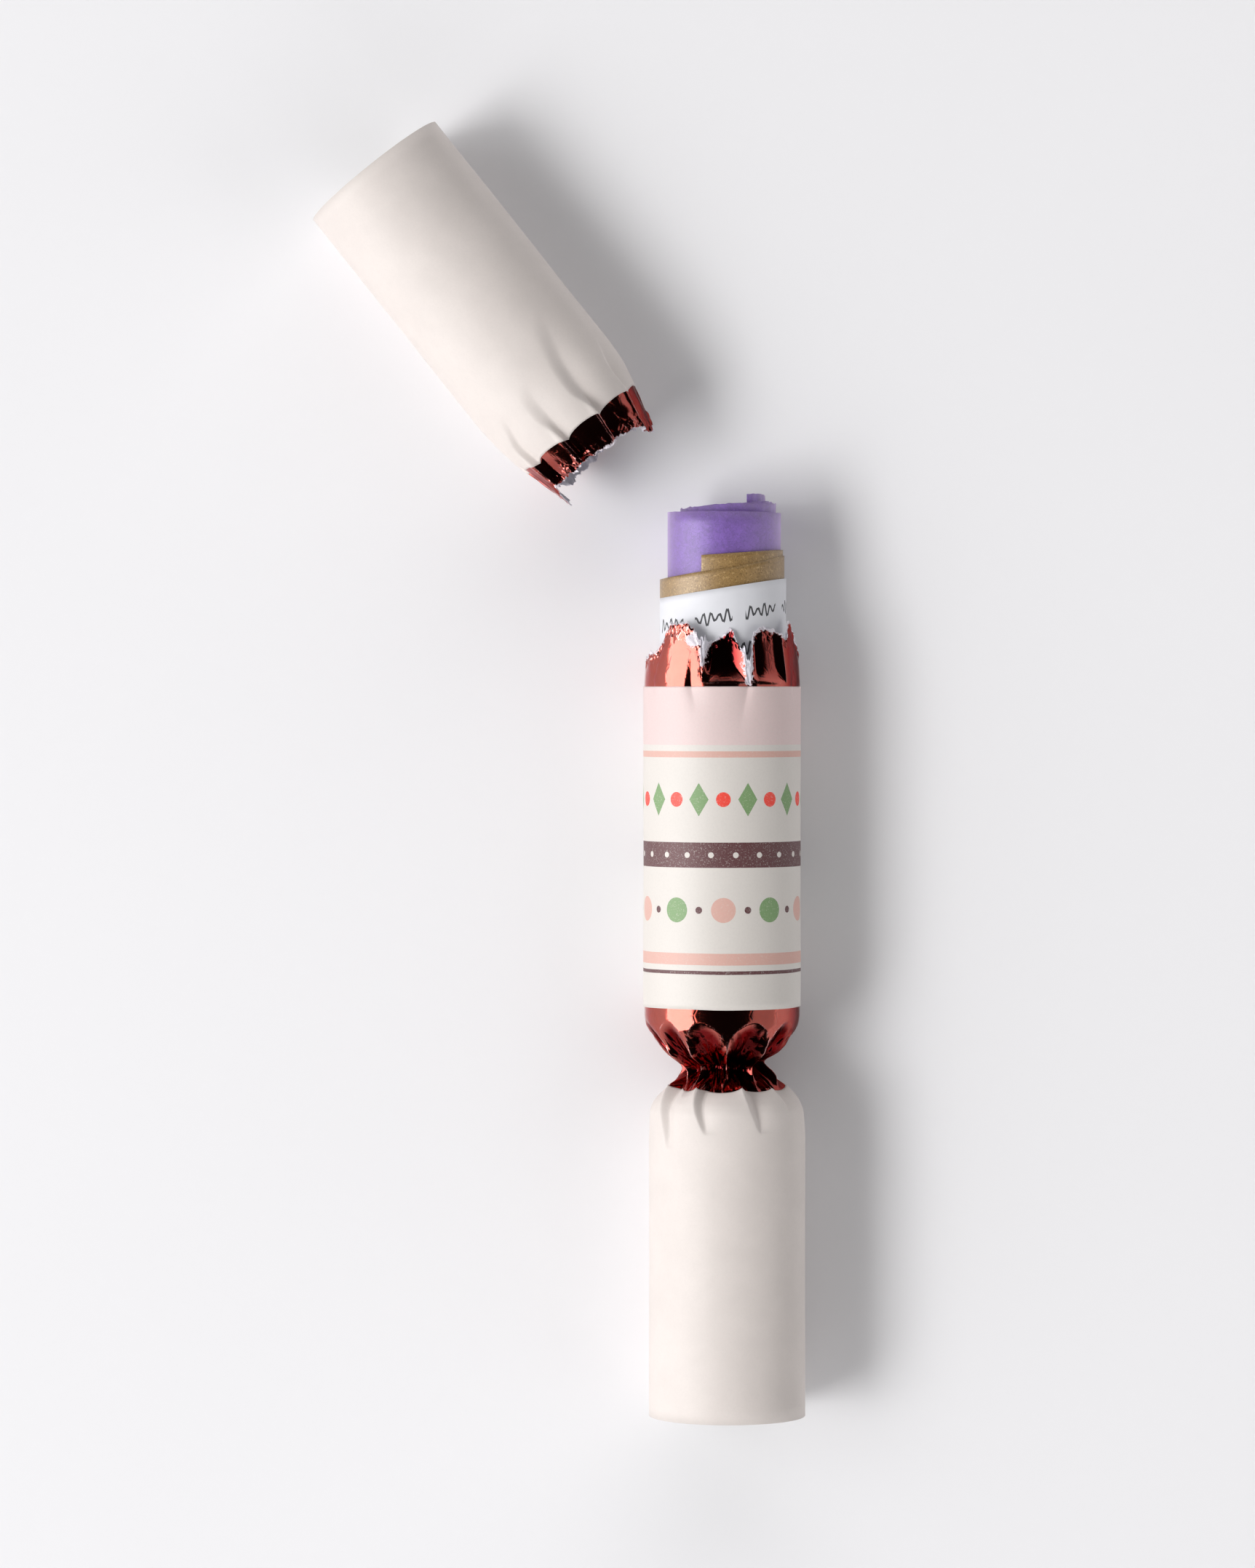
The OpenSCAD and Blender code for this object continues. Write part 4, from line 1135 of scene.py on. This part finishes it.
# %% Torn end pleats
TORN_PLEATS = [  # depth, reach, width of the left wall, and the line: distance up the sleeve, angle
    (2.3, 30, 13.0, [(0, 21.5), (9, 20.5), (14, 21.0), (20, 24.0), (30, 31.0)]),
    (2.1, 18, 11.0, [(0, -15.0), (8, -14.0), (12, -14.0), (18, -10.0)]),
    (1.9, 15, 6.0, [(0, -57.0), (5, -55.0), (9, -49.0), (15, -42.0)]),
    (1.4, 17, 5.0, [(0, 62.0), (7, 56.0), (17, 64.0)]),
    (1.2, 18, 6.0, [(0, 101.0), (18, 98.0)]), (1.3, 16, 6.0, [(0, 140.0), (16, 140.0)]),
    (1.0, 16, 6.0, [(0, 180.0), (16, 182.0)]), (1.2, 18, 6.0, [(0, 220.0), (18, 222.0)]),
    (1.2, 18, 6.0, [(0, 261.0), (18, 264.0)])]


def torn_depth(s, angle):
    """Depth of the pleats, and how far the cream edge reaches over the foil, by the way s up the sleeve.

    The left wall is an eased step whose width grows up the sleeve, the right side a bell, and both fade
    up to the reach, as 1 less the power 1.5 of the way there, to the power 1.4. A sharp lip stands left
    of the line by the foil.
    """
    depth = np.zeros(np.broadcast(s, angle).shape)
    over = np.zeros_like(depth)
    lip = np.zeros_like(depth)
    for size, reach, wall, line in TORN_PLEATS:
        t = np.clip(s / reach, 0, 1)
        off = apart(angle, curve(s, line))
        left = 1 - smooth(-off / (2.5 + (wall - 2.5) * smooth(s / 9.0)))
        right = np.exp(-(np.maximum(off, 0) / (13.0 - 4.0 * t)) ** 1.5)
        depth = np.maximum(depth, size * (1 - t ** 1.5) ** 1.4 * np.where(off < 0, left, right))
        over = np.maximum(over, np.exp(-np.abs(apart(angle, line[0][1])) / 6.0))
        lip = lip + 0.35 * np.exp(-((off + 5.0) / 2.4) ** 2) * np.clip(1 - s / 6.0, 0, 1) * min(1, size / 1.5)
    return depth - lip, over


depth, over = torn_depth(np.array([[0.0], [SHOULDER]]), all_round(720))
print("pleats", np.round(depth.max(axis=1), 2), "mm deep at the foil and at the card tube's end")

# %% Torn end surface
TORN_SHOULDER = [(0, 0), (0.3, 0.5), (0.6, 0.84), (1, 1)]


def torn_surface(s, angle, inset, rough=0.0):
    """Points of the torn-off end in its own frame.

    s is 0 at the cream edge, rises to the rim and falls to the tear. The radius swells through the
    shoulder to the end's, and falls evenly along the stub to its tip's.
    """
    shoulder = TORN_LINE_R + (END_R - TORN_LINE_R) * curve(np.clip(s, 0, SHOULDER) / SHOULDER, TORN_SHOULDER)
    stub = TORN_LINE_R + (STUB_TIP_R - TORN_LINE_R) * np.clip(-s / STUB_LEN, 0, 1.1)
    full = np.where(s >= 0, shoulder, stub)
    depth, over = torn_depth(np.maximum(s, 0), angle)
    near = np.clip(1 - np.abs(s) / 5.0, 0, 1)
    return round_y(full - depth - inset + rough, angle, 0, s + (0.4 - 1.3 * over) * near, END_R)


print("the torn-off end narrows to", 2 * TORN_LINE_R, "mm at its foil")

# %% Torn end sleeve and tube
ang = all_round(END_COLUMNS)
s = np.concatenate([np.linspace(0, 38, 60), np.linspace(40, END_LEN, 14)])[:, None]
soft = 0.07 * noise(ang / 40.0, s / 30.0, 71) + 0.05 * noise(ang / 14.0, s / 16.0, 72)
points = torn_surface(s, ang, 0.0) + round_y(soft - 0.07, ang, 0, 0 * s, 0)
grid_piece("torn_end_sleeve", torn_place(meet(points, ang)), sheet_uv(np.radians(ang) * END_R, s),
           [m_cream, m_white, m_white], "torn_end", ["torn_end_cover"], "cream_paper", PAPER, closed=True)

s = np.concatenate([np.linspace(SHOULDER, 32, 24), np.linspace(36, END_LEN, 8)])[:, None]
points = torn_surface(s, ang, CARD_DROP)
grid_piece("torn_end_card", torn_place(meet(points, ang)), sheet_uv(ang * TUBE_ARC, s), [m_card_plain],
           "torn_end", ["torn_end_tube"], "tube_card", CARD, closed=True)

# %% [markdown]
# ## The torn-off end: its foil stub
#
# The stub curls in past the sleeve, crumpled where it was gripped, and ends in the tear with two broad
# points. It is the collar's twin, so it is made the same way, on the torn end's own frame.

# %% Torn end stub
STUB = [(-180, 7.5), (-160, 8.2), (-140, 9.0), (-122, 8.0), (-106, 9.2), (-96, 12.2), (-86, 14.4),
        (-78, 13.6), (-70, 9.8), (-60, 8.0), (-43, 8.0), (-30, 8.6), (-17, 8.3), (5, 8.1), (15, 8.6),
        (26, 8.5), (40, 9.2), (52, 10.0), (66, 11.0), (78, 12.0), (86, 11.8), (95, 8.6), (110, 7.4),
        (130, 8.6), (150, 7.0), (165, 8.0), (180, 7.5)]
STUB_R = 16.0  # of the sheet about the tear
STUB_ARC = 0.32  # millimetres of sheet per degree


def stub_surface(share, angle, inset, seed):
    """Points of the stub, share 1 at the tear and 0 at the cream edge; also its marks and its heights."""
    top = np.interp(angle, [c[0] for c in STUB], [c[1] for c in STUB])
    top = top + 0.4 * noise(angle / 6.0, angle * 0, seed)
    s = -np.where(share >= 0, share * top + jagged(angle, seed, 0.7) * np.clip(share, 0, 1) ** 5, share * LAP)
    crush = smooth((-s - top + 5.0) / 4.5) * smooth(-s / 2.5)
    u = angle * STUB_ARC
    some = smooth(0.5 + 1.3 * noise(angle / 12.0, s / 4.0, seed + 40))
    rough = crush * (0.9 * creases(u, s, seed + 30, 3.2) + 0.3 * some * creases(u, s * 1.3, seed + 31, 1.6))
    rough = rough + 0.3 * smooth(-s / 2.5) * creases(u * 0.8, s * 0.6, seed + 32, 4.0)
    tear = edge_distance(-s, top, STUB_R) + 0.55
    # Painted shade for the foil, 0 to 1: along the stub past its first few millimetres, in the crumples'
    # dents, and on the right side, away from the window.
    deep = np.clip(0.35 * smooth(-s / 4) + 0.6 * crush * np.clip(-rough, 0, 1), 0, 1)
    deep = np.maximum(deep, PAINTED_SHADE_AWAY * smooth((angle - 30.0) / 40.0))
    return torn_surface(s, angle, UNDER_COVER + inset, rough), {"tear": tear, "fold": deep}, s


ang = all_round(TORN_COLUMNS)
share = np.concatenate([np.linspace(1, 0, 36), -np.linspace(0.06, 1.0, 15)])[:, None]
points, marks, s = stub_surface(share, ang, 0.0, 80)
grid_piece("torn_end_foil_wrap", torn_place(meet(points, ang)), sheet_uv(ang * STUB_ARC, s),
           [m_foil_torn, m_ply, m_ply], "torn_end", ["torn_end_foil"], "foil_paper", TORN_FOIL_T, marks,
           closed=True)

# %% [markdown]
# ## The rolled hat
#
# A cracker's hat is a tissue crown folded flat and rolled up. Here four thin leaves are wound together
# into a roll that opens towards its core. Its inner turns stand higher, more to the right, and a folded
# corner stands highest. A solid with lines painted on it would show no gaps between its layers.

# %% Winding
def wound(name, a, start, radius, low, high, rows, materials, body, nodes, slot, t, seed, ripple, aside=0.0):
    """A sheet wound round the roll, t thick: its radius goes by angle, and its y from low to high.

    A ripple of noise is added to the radius, and the sheet may stand aside of the roll's middle.
    """
    share = np.linspace(0, 1, rows)[:, None]
    u = np.radians(a - start)[None, :] * radius.mean()
    a = a[None, :]
    y = low[None, :] + (high - low)[None, :] * share
    r = radius[None, :] + ripple * (noise(a / 13.0, y / 9.0, seed) + 0.6 * noise(a / 5.0, y / 17.0, seed + 1))
    points = round_y(r, a, ROLL_X + aside, y, ROLL_Z)
    return grid_piece(name, points, sheet_uv(u, high[None, :] - y), materials, body, nodes, slot, t)


print("the roll's middle is", ROLL_Z, "mm above the table")

# %% Hat
HAT_CORE = 8.9
HAT_TURNS = 3.5
HAT_START = 30.0
HAT_WIND = [(0, 0.0), (1.0, 1.9), (1.9, 3.4), (2.5, 5.3), (3.5, 5.8)]
HAT_LEAVES = 4
HAT_LEN = 70.0
TISSUE_T = 0.1
LEAF_GAP = 0.2
CORE_ASIDE = 1.1  # how far the core stands right of the roll's middle
HAT_COLUMNS = 640
CORE_END = 860  # degrees of winding where the inner turns end
TAB_HEIGHT = 2.3  # of the folded corner
TAB_END = 84


def hat_edge(a):
    """Height of the roll's upper edge by winding angle: level outside, and risen on the inner turns."""
    inner = smooth(2.2 * (HAT_START + HAT_TURNS * 360 - 60 - a) / (HAT_TURNS * 360))
    return HAT_OUT + inner * (2.2 + 0.9 * np.sin(np.radians(a + 10)))


for leaf in range(HAT_LEAVES):
    a = np.linspace(HAT_START + 6 * leaf, HAT_START + HAT_TURNS * 360 - 3 * leaf, HAT_COLUMNS)
    inner = 0.3 + 0.7 * smooth((HAT_START + CORE_END - a) / 60)
    waves = 0.42 * noise(a / 29.0, a * 0, 90 + leaf) + 0.14 * noise(a / 6.0, a * 0, 95 + leaf)
    high = hat_edge(a) - 0.22 * leaf + inner * waves
    tab = smooth((TAB_END - 4 * leaf - a) / 5.0) * (TAB_HEIGHT - 0.2 * leaf - 0.6 * smooth((a - 40) / 40))
    low = hat_edge(a) - HAT_LEN + 0.2 * noise(a / 19.0, a * 0, 99 + leaf)
    radius = HAT_CORE + curve((a - HAT_START) / 360.0, HAT_WIND) + LEAF_GAP * (HAT_LEAVES - 1 - leaf) * (
        1 - 0.55 * smooth((a - HAT_START) / 700.0))
    aside = CORE_ASIDE * (1 - smooth((a - HAT_START - 500) / 330.0))[None, :]
    wound(f"hat_leaf_{leaf + 1}", a, HAT_START, radius, low, high + tab, 22, [m_tissue], "hat",
          ["hat_roll"] if leaf == 0 else None, "tissue", TISSUE_T, 100 + leaf, 0.05, aside)

# %% [markdown]
# ## The strip and the slip round the hat
#
# The torn half of the snap is a flat card strip, and the slip is a sheet of paper, and both lie slanting
# round the roll, a little off it on the left. Each is one wound sheet: its radius grows by a little more
# than its thickness in a turn, and its height follows the slant.

# %% Strip
STRIP_START = -23.0
STRIP_TURNS = 1.5325
STRIP_TOP = 31.0
STRIP_W = 8.0
STRIP_R = 15.345
STRIP_T = 0.24
STRIP_GROWTH = 0.31  # more radius in each turn
STRIP_OFF = 1.0  # how far it stands off the roll on the left
STRIP_SLANT = 4.0
STRIP_RISE = [(0, 0.72), (0.31, 1.12), (0.56, 0.25), (0.81, -0.8), (1.06, -0.15), (1.31, 0.75), (1.54, 0.12)]


def off_roll(a):
    """How far a wrap stands off the roll, from 0 to 1: a bell about the roll's left side."""
    return np.exp(-(apart(a, -92.0) / 46.0) ** 2)


a = np.linspace(STRIP_START, STRIP_START + STRIP_TURNS * 360, 420)
high = STRIP_TOP + STRIP_SLANT * curve((a - STRIP_START) / 360, STRIP_RISE)
radius = STRIP_R + STRIP_GROWTH * (a - STRIP_START) / 360 + STRIP_OFF * off_roll(a)
wound("snap_strip_wound", a, STRIP_START, radius, high - STRIP_W, high, 8, [m_kraft, m_kraft, m_kraft_edge],
      "snap_half", ["snap_strip_upper"], "kraft_card", STRIP_T, 120, 0.015)

# %% Slip round the hat
SLIP_START = 150.0
SLIP_TURNS = 1.123
SLIP_TOP = 25.5
SLIP_H = 42.0
SLIP_R = 16.09
SLIP_T = 0.1
SLIP_GROWTH = 0.18
SLIP_OFF = 0.5
SLIP_SLANT = 2.6
a = np.linspace(SLIP_START, SLIP_START + SLIP_TURNS * 360, 360)
high = SLIP_TOP + SLIP_SLANT * np.sin(np.radians(a))
radius = SLIP_R + SLIP_GROWTH * (a - SLIP_START) / 360 + SLIP_OFF * off_roll(a)
wound("motto_slip_wound", a, SLIP_START, radius, high - SLIP_H, high, 26, [m_slip], "motto", ["motto_slip"],
      "slip_paper", SLIP_T, 130, 0.02)

# %% [markdown]
# ## What is kept from the model
#
# The whole end's tube, the hidden strip with its charge and sleeve, and the turned top have the right
# shape as they are. Only their materials are new.

# %% Kept nodes
KEPT = {"end_tube": m_card, "snap_strip_lower": m_kraft, "snap_charge": m_charge, "snap_striker": m_charge,
        "snap_sleeve": m_white, "top_body": m_wood, "top_stem": m_stem}
for name, mat in KEPT.items():
    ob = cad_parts[name]
    ob.data.materials.clear()
    ob.data.materials.append(mat)
print("kept:", ", ".join(KEPT))

# %% [markdown]
# ## The floor
#
# A plain pale table top. It is one big face, so that no edge of it shows, with a very faint cloudiness.

# %% Floor
FLOOR_HALF = 4.0
mat, tree, bsdf = new_material("floor")
col = mix_color(tree, ramp(tree, grain(tree, 3.0, 2.0), 0.3, 0.7), srgb(242, 241, 243), srgb(240, 239, 241))
tree.links.new(col, bsdf.inputs["Base Color"])
tune(bsdf, Roughness=0.9, Specular_IOR_Level=0.1)
mesh = bpy.data.meshes.new("floor")
corners = [(x * FLOOR_HALF, y * FLOOR_HALF, 0) for x, y in ((-1, -1), (1, -1), (1, 1), (-1, 1))]
mesh.from_pydata(corners, [], [(0, 1, 2, 3)])
mesh.materials.append(mat)
floor = bpy.data.objects.new("floor", mesh)
bpy.context.scene.collection.objects.link(floor)
floor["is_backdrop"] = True
print("floor", 2 * FLOOR_HALF, "m wide")

# %% [markdown]
# ## Light
#
# Foil shows what stands round it, so the light is a small room: a soft lamp high on the left for the
# shadows, tall panels left and right that foil mirrors, and dim panels front and back that lift the
# shadows. Overhead it is dark, which gives foil its black. A lamp that foil shouldn't mirror is hidden
# from glossy rays, and one that only shines in foil is hidden from diffuse ones.

# %% Lamps
def panel(name, place, target, size, radiance, diffuse=True, glossy=True):
    """A rectangular soft lamp, size wide and high, that faces a target and is hidden from the camera.

    Its power is pi times its area times the radiance that a mirror would show.
    """
    data = bpy.data.lights.new(name, "AREA")
    data.shape = "RECTANGLE"
    data.size = size[0]
    data.size_y = size[1]
    data.energy = math.pi * size[0] * size[1] * radiance
    ob = bpy.data.objects.new(name, data)
    ob.location = place
    ob.rotation_euler = (Vector(target) - Vector(place)).to_track_quat("-Z", "Y").to_euler()
    ob.visible_camera = False
    ob.visible_diffuse = diffuse
    ob.visible_glossy = glossy
    bpy.context.scene.collection.objects.link(ob)
    print(f"{name}: {data.energy:.0f} W")


panel("key", (-2.3, -0.7, 2.8), (0.0, 0.0, 0.0), (1.8, 1.25), 8.3, glossy=False)
panel("front_wall", (0.0, -3.2, 1.9), (0.0, 0.0, 1.9), (5.0, 2.8), 1.45, glossy=False)
panel("rear_wall", (0.0, 3.2, 1.9), (0.0, 0.0, 1.9), (5.0, 2.8), 1.45, glossy=False)
panel("left_wall", (-3.0, -0.75, 2.45), (0.0, -0.75, 2.45), (5.4, 4.3), 1.15, glossy=False)
panel("left_core", (-2.9, -0.6, 3.3), (0.0, -0.6, 3.3), (4.2, 2.3), 2.1, glossy=False)
panel("right_wall", (3.0, -1.2, 2.0), (0.0, -1.2, 2.0), (3.2, 3.4), 1.15, glossy=False)
panel("left_shine", (-3.1, -0.75, 1.75), (0.0, -0.75, 1.75), (5.4, 3.5), 4.9, diffuse=False)
panel("right_shine", (3.1, -1.5, 1.65), (0.0, -1.5, 1.65), (3.6, 3.3), 0.55, diffuse=False)

# %% World
world = bpy.data.worlds.new("world")
bpy.context.scene.world = world
world.use_nodes = True
tree = world.node_tree
part = node(tree, "ShaderNodeSeparateXYZ")
tree.links.new(coordinates(tree, "Generated"), part.inputs[0])
RIM_GREY = (0.45, 0.45, 0.46)
OVERHEAD = (0.006, 0.006, 0.007)
sky = mix_color(tree, ramp(tree, part.outputs[2], 0.03, 0.12), RIM_GREY, OVERHEAD)
tree.links.new(sky, tree.nodes["Background"].inputs["Color"])
print("sky", OVERHEAD, "overhead and", RIM_GREY, "at its rim")

# %% [markdown]
# ## Camera
#
# The photograph looks straight down from about a metre and a half, tilted by one degree. The camera is
# set by that place and tilt, and its lens by how many pixels the object spans.

# %% Camera
CAMERA_AT = (-24.57, 0.0, 1455.0)
LOOKS_PAST = 25.7  # how far past the spot below it the camera looks, in mm
PIXELS = 7590.0  # focal length in pixels of the photograph
WIDTH = 1725.0
SENSOR = 36.0
data = bpy.data.cameras.new("camera")
data.sensor_fit = "HORIZONTAL"
data.sensor_width = SENSOR
data.lens = PIXELS / WIDTH * SENSOR
data.clip_end = 20.0
camera = bpy.data.objects.new("camera", data)
camera.location = Vector(to_row(CAMERA_AT))
camera.rotation_euler = (-math.atan(LOOKS_PAST / CAMERA_AT[2]), 0.0, 0.0)
bpy.context.scene.collection.objects.link(camera)
bpy.context.scene.camera = camera
bpy.context.scene.view_settings.view_transform = "Standard"
print("lens", round(data.lens, 1), "mm")

# %% [markdown]
# ## Sizes for the record
#
# The dressed model's box is printed.

# %% Finish
low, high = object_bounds()
print("dressed box in mm", [round(1000 * (b - a), 1) for a, b in zip(low, high)])
